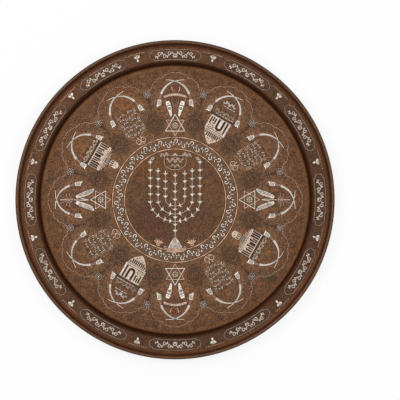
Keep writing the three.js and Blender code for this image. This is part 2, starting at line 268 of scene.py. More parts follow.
def leaf(x, y, angle, length, width):
    return leaf_shape(x, y, radians(angle), length, width), None


def dot(x, y, size):
    return dot_shape(x, y, size), None


def paired(motif):
    return motif + [(mirror(shape), width) for shape, width in motif]


def knop(w=4.9, h=7.6):
    """Three leaves that point down, with raised tips, of this half width and height."""
    half = pts((0, -h * 0.62), (w * 0.24, -h * 0.2), (w * 0.55, -h * 0.12), (w * 0.82, h * 0.06),
               (w, h * 0.38), (w * 0.62, h * 0.2), (w * 0.3, h * 0.14), (w * 0.16, h * 0.36))
    return both_sides(half)


def vine(length, height, unit, width):
    """A running vine, the same on both sides of its middle: a waving stem with curls and leaves."""
    count = max(1, round(length / 2 / unit))
    unit = length / 2 / count
    x = np.linspace(0, count * unit, count * 8 + 1)
    half = [(np.c_[x, height * 0.16 * np.sin(pi * x / unit)], width * 0.8)]
    for k in range(count):
        side = 1 if k % 2 == 0 else -1
        x, up = k * unit, side * height
        half += [(roll(x + unit * 0.1, up * 0.03, -28 * side, height * 0.25, -side, 1.0, 12), width),
                 leaf(x + unit * 0.42, up * 0.15, 62 * side, height * 0.36, height * 0.17),
                 leaf(x + unit * 0.6, up * 0.13, 18 * side, height * 0.34, height * 0.14),
                 dot(x + unit * 0.98, up * 0.36, width)]
    return paired(half)


def rosette(radius, petals):
    found, root = [dot(0, 0, radius * 0.5)], radius * 0.36
    for k in range(petals):
        a = TURN * k / petals
        found.append((leaf_shape(root * cos(a), root * sin(a), a, radius * 0.64, radius * 0.42), None))
    return found


def dots_round(radius, count, size, start=0.0):
    turns = [start + TURN * k / count for k in range(count)]
    return [dot(radius * cos(a), radius * sin(a), size) for a in turns]


def show(name, mesh, slot, node=None):
    """Adds a mesh to the scene as a piece of the tray, in the place of a node where one is named."""
    obj = bpy.data.objects.new(name, mesh)
    bpy.context.scene.collection.objects.link(obj)
    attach(obj, "root")
    if node:
        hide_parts(node)


class Stock:
    """The vertices and faces of one piece. Its tops and feet are heights above the face it lies on."""

    def __init__(self, face=WELL):
        self.face = face
        self.verts, self.faces, self.count = [], [], 0

    def add(self, verts, faces):
        self.verts.append(np.asarray(verts, float))
        self.faces.extend(tuple(int(i) + self.count for i in face) for face in faces)
        self.count += len(verts)

    def sweep(self, path, rows, closed):
        """Joins rows of points, one row for each corner of a section, into a band along a path."""
        n, m = len(path), len(rows)
        faces = []
        for i in range(n if closed else n - 1):
            j = (i + 1) % n
            for k in range(m):
                after = (k + 1) % m
                faces.append((m * i + k, m * i + after, m * j + after, m * j + k))
        if not closed:
            faces.append(tuple(range(m - 1, -1, -1)))
            faces.append(tuple(m * (n - 1) + k for k in range(m)))
        self.add(np.stack(rows, 1).reshape(-1, 3), faces)

    def ribbon(self, path, width, top=PROUD, closed=False, bevel=BEVEL):
        """A wire or strip of metal with its upper edges rounded off."""
        path = np.asarray(path, float)
        width = np.broadcast_to(np.asarray(width, float), len(path))
        side = leftward(path, closed)
        edge = np.minimum(bevel, width * 0.35)
        low, high = self.face - SEAT, self.face + top
        shoulder = high - min(bevel, (high - low) * 0.8)
        rows = []
        for hand, cut, z in ((1, 0, low), (1, 0, shoulder), (1, 1, high),
                             (-1, 1, high), (-1, 0, shoulder), (-1, 0, low)):
            off = hand * (width / 2 - cut * edge)
            rows.append(np.c_[path + side * off[:, None], np.full(len(path), z)])
        self.sweep(path, rows, closed)

    def bed(self, path, width, drop=0.0, closed=False):
        """The dark line of solder and shadow under a wire."""
        self.ribbon(path, width, CUT - drop, closed, FINE)

    def line(self, path, width, closed=False, rise=CUT, lift=0.0):
        """An engraved line: a shallow dark ridge of the dirt left in the cut."""
        path = np.asarray(path, float)
        side = leftward(path, closed) * (width / 2)
        base = np.full(len(path), self.face + lift - SUNK)
        rows = [np.c_[path + side, base], np.c_[path, base + rise], np.c_[path - side, base]]
        self.sweep(path, rows, closed)

    def scratch(self, path, width):
        """A line cut into an inlay's own face."""
        self.line(path, width, rise=SCRATCH, lift=PROUD)

    def plate(self, loop, top=PROUD, foot=-SEAT, holes=(), bevel=BEVEL):
        """A flat plate with rounded upper edges, and holes that end inside its outline."""
        loops = [anticlockwise(loop)] + [anticlockwise(hole)[::-1] for hole in holes]
        tops = [inset(one, bevel) for one in loops]
        low, high = self.face + foot, self.face + top
        outer, flat = np.concatenate(loops), np.concatenate(tops)
        size = len(flat)
        levels = (outer, low), (outer, high - min(bevel, (high - low) * 0.8)), (flat, high)
        verts = np.concatenate([np.c_[points, np.full(size, z)] for points, z in levels])
        faces = []
        first = 0
        for one in loops:
            n = len(one)
            for i in range(n):
                a, b = first + i, first + (i + 1) % n
                faces.append((a, b, size + b, size + a))
                faces.append((size + a, size + b, 2 * size + b, 2 * size + a))
            first += n
        for tri in tessellate_polygon([[Vector((x, y, 0)) for x, y in one] for one in tops]):
            if area(flat[list(tri)]) < 0:
                tri = tri[::-1]
            faces.append(tuple(2 * size + i for i in tri))
            faces.append(tuple(tri[::-1]))
        self.add(verts, faces)

    def piece(self, name, metal, node=None):
        material, slot = metal
        mesh = bpy.data.meshes.new(name)
        mesh.from_pydata((np.concatenate(self.verts) * MM).tolist(), [], self.faces)
        mesh.validate()
        mesh.materials.append(material)
        show(name, mesh, slot, node)


def lay(stock, motif, via, dark=None, grow=0.75, drop=0.0):
    """Sets a motif into the sheet, with the dark line of solder and shadow round it."""
    for shape, width in motif:
        shape = via(shape)
        if width is None:
            loop = anticlockwise(shape)
            stock.plate(loop, PROUD - drop)
            if dark:
                dark.plate(inset(loop, -grow), CUT, bevel=FINE)
        else:
            stock.ribbon(shape, width, PROUD - drop)
            if dark:
                dark.bed(shape, width + 2 * grow)


# Materials

def tint(r, g, b):
    """A colour given as it looks on a screen, as the linear one that shaders use."""
    line = [c / 255 for c in (r, g, b)]
    return tuple(c / 12.92 if c <= 0.04045 else ((c + 0.055) / 1.055) ** 2.4 for c in line) + (1.0,)


class Nodes:
    """The shader nodes of a material or of the world."""

    def __init__(self, owner):
        owner.use_nodes = True
        self.tree = owner.node_tree
        self.tree.nodes.clear()

    def node(self, kind, inputs=None, **settings):
        made = self.tree.nodes.new("ShaderNode" + kind)
        for key, value in settings.items():
            setattr(made, key, value)
        for key, value in (inputs or {}).items():
            if isinstance(value, bpy.types.NodeSocket):
                self.tree.links.new(value, made.inputs[key])
            elif value is not None:
                made.inputs[key].default_value = value
        return made

    def math(self, operation, a, b):
        return self.node("Math", {0: a, 1: b}, operation=operation).outputs[0]

    def seen_directly(self):
        """1 for camera, glossy and transmission rays."""
        path = self.node("LightPath").outputs
        seen = path["Is Camera Ray"]
        for ray in ("Is Glossy Ray", "Is Transmission Ray"):
            seen = self.math("MAXIMUM", seen, path[ray])
        return seen


class Finish(Nodes):
    """A material, with its colour and normal so far."""

    def __init__(self, name, blend="MIX"):
        self.material = bpy.data.materials.new(name)
        super().__init__(self.material)
        self.place = self.node("TexCoord").outputs["Object"]
        self.blend = blend
        self.colour = self.normal = None

    def noise(self, scale, detail, roughness=0.55, stretch=None):
        place = self.place
        if stretch:
            place = self.node("Mapping", {"Vector": place, "Scale": stretch}).outputs[0]
        return self.node("TexNoise", {"Vector": place, "Scale": scale, "Detail": detail,
                                      "Roughness": roughness}).outputs["Fac"]

    def cells(self, scale, feature="F1"):
        return self.node("TexVoronoi", {"Vector": self.place, "Scale": scale},
                         feature=feature).outputs["Distance"]

    def span(self, value, low, high, start=0.0, end=1.0):
        return self.node("MapRange", {"Value": value, "From Min": low, "From Max": high,
                                      "To Min": start, "To Max": end}).outputs[0]

    def stain(self, share, most, stain):
        """Turns the colour toward a stain or toward painted light or shade, by a share of 0 to 1 of the
        most allowed.
        """
        inputs = {0: self.math("MULTIPLY", share, most), 6: self.colour, 7: stain}
        self.colour = self.node("Mix", inputs, data_type="RGBA", blend_type=self.blend).outputs[2]

    def ramp(self, share, stops):
        made = self.node("ValToRGB", {"Fac": share})
        ends = made.color_ramp.elements
        while len(ends) < len(stops):
            ends.new(0.5)
        for spot, (at, colour) in zip(ends, stops):
            spot.position, spot.color = at, colour
        return made.outputs[0]

    def bump(self, height, strength, distance):
        self.normal = self.node("Bump", {"Height": height, "Strength": strength, "Distance": distance,
                                         "Normal": self.normal}).outputs[0]

    def done(self, metallic, roughness, gloss=0.5):
        shader = self.node("BsdfPrincipled", {
            "Base Color": self.colour, "Metallic": metallic, "Roughness": roughness,
            "Normal": self.normal, "Specular IOR Level": gloss})
        self.node("OutputMaterial", {"Surface": shader.outputs[0]})
        return self.material


GRAIN = 420.0  # scale of the scratches on inlaid metal
# Name, slot, colours (bright, dull, deep), metallic, roughness, strength of tarnish and of wear
METALS = [
    ("bright_silver", "silver_inlay", (252, 240, 228), (206, 188, 172), (110, 90, 76), 0.8, 0.3, 0.7, 0.4),
    ("silver_inlay", "silver_inlay", (240, 226, 212), (182, 162, 148), (96, 76, 62), 0.8, 0.32, 0.8, 0.5),
    ("dull_silver", "silver_inlay", (204, 176, 152), (152, 126, 106), (84, 62, 48), 0.8, 0.36, 0.8, 0.5),
    ("pale_silver", "silver_inlay", (218, 196, 176), (172, 148, 130), (88, 66, 54), 0.8, 0.34, 0.8, 0.5),
    ("pink_silver", "copper_inlay", (214, 180, 160), (166, 130, 112), (86, 60, 48), 0.8, 0.36, 0.8, 0.5),
    ("copper_inlay", "copper_inlay", (255, 210, 176), (204, 152, 118), (96, 60, 40), 0.8, 0.32, 0.8, 0.5),
    ("copper_band", "copper_inlay", (160, 122, 102), (128, 94, 78), (74, 50, 40), 0.7, 0.38, 0.5, 0.38),
    # the next row colours the dark line round each inlay: partly solder, partly painted shadow
    ("solder_and_shade", "patinated_brass", (54, 35, 24), (40, 25, 16), (26, 16, 11), 0.5, 0.55, 0.5, 0.38),
    ("engraving", "patinated_brass", (60, 38, 23), (48, 29, 17), (32, 19, 11), 0.5, 0.5, 0.5, 0.38),
    ("edge_iron", "edge_iron", (78, 70, 64), (60, 50, 44), (34, 28, 25), 0.8, 0.55, 0.5, 0.38),
]


def worn_metal(name, slot, bright, dull, deep, metallic, rough, tarnish, wear):
    """Inlaid metal: bright on the rubbed faces, dull in patches and nearly dark in its scratches."""
    f = Finish(name)
    patches = f.span(f.noise(150, 4, 0.65), 0.38, 0.62)
    scratches = f.span(f.noise(GRAIN, 2, 0.7, (1.0, 0.35, 1.0)), 0.54, 0.70)
    pits = f.span(f.cells(GRAIN * 1.5), 0.08, 0.3, 1.0, 0.0)
    f.colour = tint(*bright)
    f.stain(patches, tarnish, tint(*dull))
    f.stain(scratches, wear, tint(*deep))
    f.stain(pits, wear, tint(*deep))
    f.bump(f.noise(GRAIN, 3), 0.35, 0.00012)
    f.bump(pits, 0.4, 0.00008)
    return f.done(metallic, f.span(patches, 0, 1, rough, rough + 0.16)), slot


# Colour of the bare sheet by radius, with painted light in it. The dark band from 260 to 269.4 on the
# step's wall, the dark groove inside the flare from 295.5 to 300.2 and the dark outer edge at 307.2 are
# painted shade. The lighter band at 291, where the rim turns up, and the lighter band at 304.6 on the
# rolled edge are painted highlights.
ZONES_WITH_PAINTED_LIGHT = [
    (0.0, (102, 73, 51)), (96.5, (101, 72, 50)), (98.5, (108, 79, 57)), (121, (108, 79, 57)),
    (125, (108, 79, 57)), (215, (112, 82, 60)), (236, (106, 73, 51)), (256.4, (104, 71, 47)),
    (260.0, (60, 30, 9)), (262, (54, 26, 8)), (266.6, (48, 23, 5)), (269.4, (90, 60, 40)),
    (273, (91, 62, 43)), (288, (96, 67, 47)), (291, (100, 69, 48)), (293, (96, 64, 43)),
    (295.5, (80, 49, 29)), (300.2, (78, 46, 27)), (302, (88, 60, 43)), (304.6, (97, 72, 57)),
    (306.2, (78, 57, 44)), (307.2, (34, 22, 16)),
]
ZONES_END = 0.308  # radius in metres at the end of the ramp
# Stains, and the rim's painted light and shade, by name: how strong, and what the colour is multiplied by
STAINS_AND_PAINTED_LIGHT = {
    "pale": (0.75, (1.34, 1.26, 1.14, 1)), "matt": (0.7, (0.82, 0.90, 0.98, 1)),
    "dark": (0.8, (0.50, 0.48, 0.46, 1)), "green": (0.9, (0.34, 0.88, 0.74, 1)),
    "plum": (0.8, (0.78, 0.66, 0.86, 1)), "warm": (0.8, (1.45, 1.12, 0.68, 1)),
}


def patina():
    """The sheet: brown by zones from the middle outward, with painted shade and painted highlights on the
    step, the flare and the rolled edge, beaten, punched and stained, and painted lighter and darker by side
    on the rim.
    """
    f = Finish("patinated_brass", "MULTIPLY")
    flat = f.node("VectorMath", {0: f.place, 1: (1.0, 1.0, 0.0)}, operation="MULTIPLY").outputs[0]
    radius = f.node("VectorMath", {0: flat}, operation="LENGTH").outputs["Value"]
    stops = [(r * MM / ZONES_END, tint(*c)) for r, c in ZONES_WITH_PAINTED_LIGHT]
    f.colour = f.ramp(f.math("DIVIDE", radius, ZONES_END), stops)
    # stains that the sheet's marks place, with the rim's painted light and shade among them
    for name, (most, stain) in STAINS_AND_PAINTED_LIGHT.items():
        f.stain(f.node("Attribute", attribute_name=name).outputs["Fac"], most, stain)
    # patches of a warmer, an olive and a redder brown, then the close grain of the punched ground
    warm, plum = f.noise(48, 4, 0.6), f.noise(62, 3, 0.5, (1.0, 1.0, 4.0))
    grain, coarse = f.noise(520, 3, 0.75), f.noise(190, 3, 0.6)
    for field, low, high, most, stain in (
            (warm, 0.54, 0.68, 0.3, (1.30, 1.10, 0.78, 1)), (warm, 0.46, 0.34, 0.5, (0.82, 0.94, 0.80, 1)),
            (plum, 0.54, 0.7, 0.3, (0.94, 0.84, 0.92, 1)),
            (grain, 0.51, 0.62, 0.8, (1.85, 1.82, 1.8, 1)), (grain, 0.49, 0.38, 0.8, (0.50, 0.44, 0.36, 1)),
            (coarse, 0.5, 0.66, 0.5, (1.25, 1.22, 1.2, 1)),
            (coarse, 0.5, 0.36, 0.45, (0.74, 0.74, 0.68, 1))):
        f.stain(f.span(field, low, high), most, stain)
    f.bump(f.cells(70.0, "SMOOTH_F1"), 0.25, 0.0012)
    f.bump(f.cells(620.0), 0.35, 0.00025)
    f.bump(coarse, 0.3, 0.0005)
    return f.done(0.72, f.span(warm, 0.3, 0.7, 0.52, 0.42), 0.2)


BRASS = patina()
BRIGHT, SILVER, DULL, PALE, ROSE, COPPER, MAUVE, SOLDER_AND_SHADE, CUTS, IRON = (worn_metal(*row) for row in METALS)


# The beaten sheet

def centreline():
    """The sheet's middle as rows of (radius, height, direction of its upper face)."""
    rows = []

    def bend(r, z, radius, start, end, steps, outward, first=1):
        for k in range(first, steps + 1):
            a = radians(start + (end - start) * k / steps)
            rows.append((r + radius * cos(a), z + radius * sin(a), degrees(a) + (0 if outward else 180)))
    rise, run = RIM - WELL, RIM_IN - WELL_EDGE
    lean = degrees(2 * atan2(rise, run))
    tight = run / (2 * sin(radians(lean)))
    middle = SHEET / 2
    rim_z = RIM - middle
    bend(WELL_EDGE, middle + tight, tight, -90, lean - 90, 8, False, 0)
    bend(RIM_IN, rim_z - tight, tight, lean + 90, 90, 8, True)
    for r in np.arange(RIM_IN + 2, RIM_OUT - 0.5, 2.0):
        rows.append((r, rim_z, 90))
    bend(RIM_OUT, rim_z + FLARE, FLARE, -90, 0, 14, False, 0)
    bend(RIM_OUT + FLARE + ROLL, rim_z + FLARE, ROLL, 180, -120, 26, True)
    return rows


def soft(distance, edge):
    """1 inside a shape and 0 outside, over this width of edge."""
    t = np.clip(0.5 - distance / edge, 0, 1)
    return t * t * (3 - 2 * t)


def oval(u, r, at, half, tall):
    return (np.hypot(u / half, (r - at) / tall) - 1) * min(half, tall)


def block(u, r, half, low, high):
    return np.maximum(np.abs(u) - half, np.maximum(low - r, r - high))


# Stains at single places, as (x, y, size, strength)
PLUM_SPOTS = [(-48, -42, 36, 0.9), (-30, -70, 22, 0.8), (40, -40, 30, 0.35)]
WARM_SPOTS = [(0, 74, 34, 0.6), (-58, 58, 20, 0.6), (-4, 97, 12, 0.8), (64, 20, 16, 0.4),
              (-120, 10, 22, 0.4), (-170, 90, 30, 0.35), (20, -190, 44, 0.3),
              (150, -90, 34, 0.45), (-90, 190, 30, 0.4)]


def marks_on(x, y):
    """How strong each stain, and the painted light and shade on the rim, is at these points of the upper
    face.
    """
    radius, turn = np.hypot(x, y), np.arctan2(y, x)
    marks = {name: np.zeros(len(x)) for name in STAINS_AND_PAINTED_LIGHT}

    def put(name, share, distance, edge, where=1.0):
        marks[name] = np.maximum(marks[name], where * soft(distance, edge) * share)

    def facing(angle):
        """The points as (out along this angle, across it, whether they lie on its side)."""
        r = x * cos(angle) + y * sin(angle)
        return r, y * cos(angle) - x * sin(angle), r > 0
    put("matt", 0.7, np.abs(radius - BAND) - 7.5, 4)
    for i, kind in enumerate(KINDS):
        r, u, near = facing(i * PITCH)
        put("pale", 0.8, oval(u, r, 180, 38, 56), 12, near & (radius > 122))
        inside = {"plain": block(u, r, 20, 143, 197), "tall_hall": block(u, r, 23, 146, 216),
                  "wide_hall": block(u, r, 28, 146, 200)}.get(kind, oval(u, r, STAR, 11, 11))
        put("matt", 0.8, inside, 5, near)
        put("dark", 0.42, oval(u, r, 206, 23, 19), 8, near)
        if kind in STARRED:
            put("plum", 0.7, oval(u, r, 196, 19, 26), 10, near)
        along_rim = ((turn - i * PITCH + pi) % TURN - pi) * RIM_MID
        put("matt", 0.25, block(along_rim, radius, 48, 272.5, 288.5), 4)
        r, u, near = facing(i * PITCH + PITCH / 2)
        fan = np.hypot(u, r - 152) / (1 + 0.07 * np.cos(10 * np.arctan2(r - 152, u)))
        put("dark", 0.27, np.maximum(fan - 21, 127 - r), 6, near)
        put("dark", 0.7, block(u, r, 2.4, 172, 202), 5, near)
        put("dark", 0.3, oval(u, r, 222, 7, 6), 5, near)
        put("pale", 0.5, block(u, r, 15, 176, 236), 16, near & (fan > 21))
        put("matt", 0.6, oval(u, r, FLOWER, 10, 9), 6, near)
        put("matt", 1.0, oval(u, r, RIM_PLAIN, 11, 9), 6, near)
    # painted light and shade: the rim is painted paler toward the upper left, round 150 degrees, where the
    # light falls, and darker on the far side
    painted_light_side = np.clip(0.5 + 0.9 * np.cos(turn - radians(150)), 0, 1)
    on_rim = np.abs(radius - RIM_PLAIN) - 12
    put("pale", 0.75, on_rim, 5, painted_light_side)
    put("dark", 0.25, on_rim, 5, 1 - painted_light_side)
    put("green", 1.0, np.hypot(x - 184, y + 151) - 8, 8)
    put("green", 0.5, np.hypot(x - 192, y + 144) - 5, 10)
    for name, spots, where in (("plum", PLUM_SPOTS, radius < 98), ("warm", WARM_SPOTS, 1.0)):
        for px, py, size, share in spots:
            put(name, share, np.hypot(x - px, y - py) - size, size, where)
    return marks


def bake_map(mesh, profile, segments, split, quads):
    """Lays the face out as one disc by length along the sheet, and the back as a small one."""
    rows = len(profile)
    reach = np.r_[0, np.cumsum(np.hypot(*np.diff(profile, axis=0).T))] + profile[0, 0]
    face = reach[-1] - reach + profile[-1, 0]

    def read(owner, field):
        found = np.zeros(len(owner), np.int32)
        owner.foreach_get(field, found)
        return found
    corner = read(mesh.loops, "vertex_index")
    poly = np.repeat(np.arange(len(mesh.polygons)), read(mesh.polygons, "loop_total"))
    turn = TURN * (corner % segments) / segments
    is_fan = poly >= quads
    on_back = np.where(is_fan, poly < quads + segments, poly // segments < split)
    centre = is_fan & (corner >= rows * segments)
    row = np.where(centre, 0, np.minimum(corner // segments, rows - 1))
    back = np.where(centre, 0, reach[np.minimum(row, split)]) / reach[split]
    front = np.where(centre, 0, face[row]) / face[split]
    s = np.where(on_back, back * 0.12, front * 0.43)
    middle = np.where(on_back, 0.868, 0.44)
    uv = np.c_[middle + s * np.cos(turn), middle + s * np.sin(turn)]
    layer = mesh.uv_layers.new(name="OFBake")
    layer.data.foreach_set("uv", uv.astype(np.float32).ravel())


def tray_sheet(m=720):
    """The sheet in m segments round, with the marks of its stains and of the rim's painted light and shade
    on its upper face.
    """
    rows = np.array(centreline())
    a = np.radians(rows[:, 2])
    off = np.c_[np.cos(a), np.sin(a)] * SHEET / 2
    flat = np.arange(2.0, WELL_EDGE - 1, 2.0)
    top = np.r_[np.c_[flat, np.full(len(flat), WELL)], rows[:, :2] + off]
    low = np.r_[np.c_[flat[::8], np.zeros(len(flat[::8]))], rows[:, :2] - off]
    profile = np.r_[low, top[::-1]]
    n = len(profile)
    a = np.linspace(0, TURN, m, endpoint=False)
    rings = np.stack([np.outer(profile[:, 0], np.cos(a)), np.outer(profile[:, 0], np.sin(a)),
                      np.repeat(profile[:, 1:], m, 1)], -1).reshape(-1, 3)
    verts = np.r_[rings, [(0, 0, 0), (0, 0, WELL)]]
    k, j = np.meshgrid(np.arange(n - 1), np.arange(m), indexing="ij")
    after = (j + 1) % m
    quads = np.stack([k * m + j, k * m + after, (k + 1) * m + after, (k + 1) * m + j], -1).reshape(-1, 4)
    one = np.arange(m)
    fans = np.r_[np.c_[np.full(m, n * m), (one + 1) % m, one],
                 np.c_[np.full(m, n * m + 1), (n - 1) * m + one, (n - 1) * m + (one + 1) % m]]
    mesh = bpy.data.meshes.new("tray_sheet")
    mesh.from_pydata((verts * MM).tolist(), [], quads.tolist() + fans.tolist())
    mesh.materials.append(BRASS)
    mesh.polygons.foreach_set("use_smooth", [True] * len(mesh.polygons))
    upper = np.zeros(len(verts), bool)
    upper[len(low) * m:n * m] = True
    upper[-1] = True
    for name, value in marks_on(verts[:, 0], verts[:, 1]).items():
        made = mesh.attributes.new(name, "FLOAT", "POINT")
        made.data.foreach_set("value", (value * upper).astype(np.float32))
    bake_map(mesh, profile, m, len(low), len(quads))
    show("tray_sheet", mesh, "patinated_brass", "tray_body")


tray_sheet()
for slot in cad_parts["edge_wire"].material_slots:
    slot.material = IRON[0]


# The middle: rings, menorah, crest and sprays

WIRE = 1.3  # width of the menorah's and the crest's wires


def set_rings():
    for name, radius in (("ring_inner", RING_IN), ("ring_outer", RING_OUT)):
        wire, edge = Stock(), Stock()
        line = circle(radius)
        k = np.arange(len(line))
        wire.ribbon(line, 1.25 + 0.25 * np.sin(k * 0.31) + 0.15 * np.sin(k * 0.87), closed=True)
        # a dark line of solder and painted shadow on both sides of the ring's wire
        edge.bed(line, 3.4, closed=True)
        wire.piece(name + "_wire", COPPER, name)
        edge.piece(name + "_solder", SOLDER_AND_SHADE)


def knops_on(path, *distances):
    spots, ways = along(path, np.array(distances) / length_of(path))
    return [moved(x, y, atan2(way[1], way[0]) + pi / 2)(knop()) for (x, y), way in zip(spots, ways)]


def tip(x, y):
    return leaf_shape(x, y + 0.6, pi / 2, 4.2, 2.2)


def set_menorah(solder, graven):
    wires, silver = Stock(), Stock()
    shaft = pts((0, SHAFT_TOP), (0, FLOOR + 10))
    lay(silver, [(between(shaft, 0, 1, 12), WIRE)], here, solder, 0.8)
    knops, first = knops_on(shaft, *SHAFT_KNOPS), SHAFT_KNOPS[0]
    for half, joint, bend, drop, gap, count in ARMS:
        bottom = FLOOR + joint + bend
        path = np.r_[pts((half, CROWN - drop), (half, bottom + 1)), arc(0, bottom, half, bend, 0, -90, 22)]
        for side in (path, mirror(path)):
            lay(wires, [(side, WIRE)], here, solder, 0.7)
            beads = (first + gap * (np.arange(count - 1) + 0.5)) / length_of(path)
            lay(wires, [dot(*spot, 2.4) for spot in along(side, beads)[0]], here)
        for shape in knops_on(path, *(first + gap * np.arange(count)), length_of(path) - 9.5):
            knops += [shape, mirror(shape)]
        knops += [tip(half, CROWN - drop), tip(-half, CROWN - drop)]
    for shape in [*knops, tip(0, SHAFT_TOP)]:
        loop = anticlockwise(shape)
        silver.plate(loop, PROUD + 0.02, -0.5, bevel=0.18)
        solder.plate(inset(loop, -0.9), CUT + 0.004, -0.4, bevel=FINE)
    bell = quad((BELL_HALF, FLOOR), (BELL_HALF * 0.72, FLOOR + 11.5), (0.9, FLOOR + BELL_HEIGHT), 10)
    lay(silver, [(both_sides(bell), None)], here, solder)
    for hand in (1, -1):
        for k in range(-5, 9):
            x = hand * k * 2.6
            line = np.c_[np.linspace(x, x - hand * 17, 18), np.linspace(FLOOR + 0.5, FLOOR + 20.5, 18)]
            inside = np.abs(line[:, 0]) < np.interp(line[:, 1], bell[:, 1], bell[:, 0]) - 0.7
            if inside.sum() > 2:
                graven.scratch(line[inside], 0.55)
    silver.piece("menorah_silver", SILVER, "menorah")
    wires.piece("menorah_arms", PALE)


def set_plinth(solder):
    """The band of copper under the menorah's foot, on both sides of the inner ring."""
    plinth = Stock()
    across = np.linspace(-18.5, 18.5, 21)
    for inner, outer in ((93.8, 97.0), (99.2, 101.8)):
        low = np.c_[across, -np.sqrt(outer ** 2 - across ** 2)]
        high = np.c_[across, np.minimum(-np.sqrt(inner ** 2 - across ** 2), FLOOR - 0.3)]
        lay(plinth, [(np.r_[low, high[::-1]], None)], here, solder, 0.5)
    for x, heading, size, hand in ((-17.5, pi, 3.4, -1), (17.5, 0, 2.8, 1)):
        lay(plinth, [(curl(x, FLOOR - 1.6, heading, size, hand, 1.1, 14), WIRE)], here, solder)
    plinth.piece("menorah_plinth", ROSE)


def set_crest(solder):
    wire, leaves, peak = Stock(), Stock(), Stock()
    scallops = [arc(x, 84.1, 2.8, 2.0, 0, 180, 8) for x in (17.6, 12.0, 6.6)]
    line = both_sides(np.r_[pts((0, 58.1), (9, 58.1)), quad((9, 60.5), (22.8, 63), (21.2, 77), 8),
                            pts((20.8, 83.0)), *scallops, pts((3.4, 84.6), (0, 84.6))])
    wire.ribbon(line, WIRE, closed=True)
    solder.bed(line, 2.9, closed=True)
    wire.piece("crest_wire", DULL, "crest_frame")
    lay(peak, [(pts((-4.6, 84.8), (0, 89.0), (4.6, 84.8)), 2.2)], here, solder, 0.5)
    lay(peak, [dot(x, y - 1.4, 1.3) for x, y in ((0, 84.6), (-2.2, 82.6), (2.2, 82.6))], here)
    peak.piece("crest_peak", SILVER)
    lay(leaves, vine(33, 10.5, 5.6, 1.25), moved(0, 76.6), solder, 0.5)
    lay(leaves, vine(20, 7.5, 5.0, 1.1), moved(0, 65.6), solder, 0.5)
    for hand, x in ((-1, -20.8), (1, 23.2)):
        lay(leaves, vine(17.5, 7.6, 4.4, 1.5), moved(x, 87.2, -hand * 0.22), solder, 0.5)
        curled = roll(hand * 40.0, 80.6, 90 - hand * 40, 3.4, -hand, 1.3, 16)
        lay(leaves, [(curled, 1.7)], here, solder, 0.5)
    leaves.piece("crest_leafwork", PALE)


def set_sprays(solder):
    """The fans of leaves beside the menorah's foot."""
    fan = [(pts((0, 0), (0.2, 3), (0, 6)), 1.8), leaf(0, 5.6, 90, 7.6, 2.2)]
    fan += paired([leaf(0.9, 5.2, 58, 8.8, 2.1), leaf(1.4, 4.6, 32, 9.0, 2.1),
                   (roll(1.0, 1.0, 20, 2.2, 1, 0.9, 10, 0.4), 1.1), dot(6.4, 13.4, 1.5),
                   dot(2.6, 14.2, 1.4)])
    for hand, node in ((-1, "scroll_left"), (1, "scroll_right")):
        spray = Stock()
        turn = radians(20.4) * hand
        lay(spray, fan, moved(95.6 * sin(turn), -95.6 * cos(turn), turn * 0.6, 1.05), solder, 0.6)
        spray.piece(node + "_spray", COPPER, node)


def set_band(solder, units=46):
    """Sprigs of leaves all round between the rings, on a thin stem."""
    band, stem = Stock(), Stock()
    unit = TURN * BAND / units
    x = np.linspace(-unit / 2, unit / 2, 9)
    wave = np.c_[x, 2.0 * np.cos(pi * x / unit)]
    sprig = [(roll(-unit * 0.36, -0.6, -34, 4.3, -1, 0.9, 12, 0.3), 1.55),
             leaf(-unit * 0.04, -0.8, 80, 6.2, 2.2), leaf(unit * 0.14, -0.2, 32, 5.2, 2.0),
             leaf(unit * 0.2, -1.4, -42, 4.4, 1.8)]
    for k in range(units):
        via = on_ring(BAND, TURN * k / units)
        flip = np.array((1, 1 if k % 2 == 0 else -1))
        lay(stem, [(wave * flip, 0.9)], via, solder, 0.7)
        lay(band, [(shape * flip, width) for shape, width in sprig], via, solder, 0.9)
    band.piece("band_sprigs", BRIGHT)
    stem.piece("band_stem", DULL)


def set_middle():
    solder, graven = Stock(), Stock()
    set_rings()
    set_menorah(solder, graven)
    for part in (set_plinth, set_crest, set_sprays, set_band):
        part(solder)
    solder.piece("solder_and_shade_in_field", SOLDER_AND_SHADE)
    graven.piece("menorah_hatching", SOLDER_AND_SHADE)


set_middle()


# The medallions

BRANCH = bezier((-18, 231.9), (10.3, 231.9), (29.8, 218.5), (31.2, 180.9), 40)
# A branch's widths, as (share of its length, width)
WIDTHS = [(0.0, 1.1), (0.14, 1.3), (0.22, 2.1), (0.4, 2.9), (0.6, 3.7), (0.8, 5.2)]
# A branch's foot, notched like a fish's tail or cut off slantwise, as (place among FOOT_SHARES,
# sideways, onward)
FOOT_SHARES = [0.84, 0.91, 1.0]
NOTCHED_FOOT = [(0, 2.8, 0), (1, 4.2, 0), (2, 4.0, -2.4), (2, 5.4, 1.6), (2, 1.8, -0.8), (2, -1.2, 0.2),
                (2, -2.6, -1.6), (2, -5.2, -0.8), (2, -4.0, -4.0), (1, -4.2, 0), (0, -2.8, 0)]
SLANTED_FOOT = [(0, 3.5, 0), (1, 4.1, 0), (2, 4.6, 2.6), (2, 0, -0.9), (2, -4.4, -2.4), (1, -3.8, 0),
                (0, -3.5, 0)]


def width_at(share):
    return np.interp(share, *zip(*WIDTHS))


def side_of(ways):
    return np.c_[-ways[:, 1], ways[:, 0]]


def point_on(path, share):
    """One point of a path, the way onward there and the way to its left."""
    spots, ways = along(path, share)
    return spots[0], ways[0], side_of(ways)[0]


def wreath_foot(corners):
    spots, ways = along(BRANCH, FOOT_SHARES)
    sides = side_of(ways)
    return np.array([spots[k] + sides[k] * out + ways[-1] * on for k, out, on in corners])


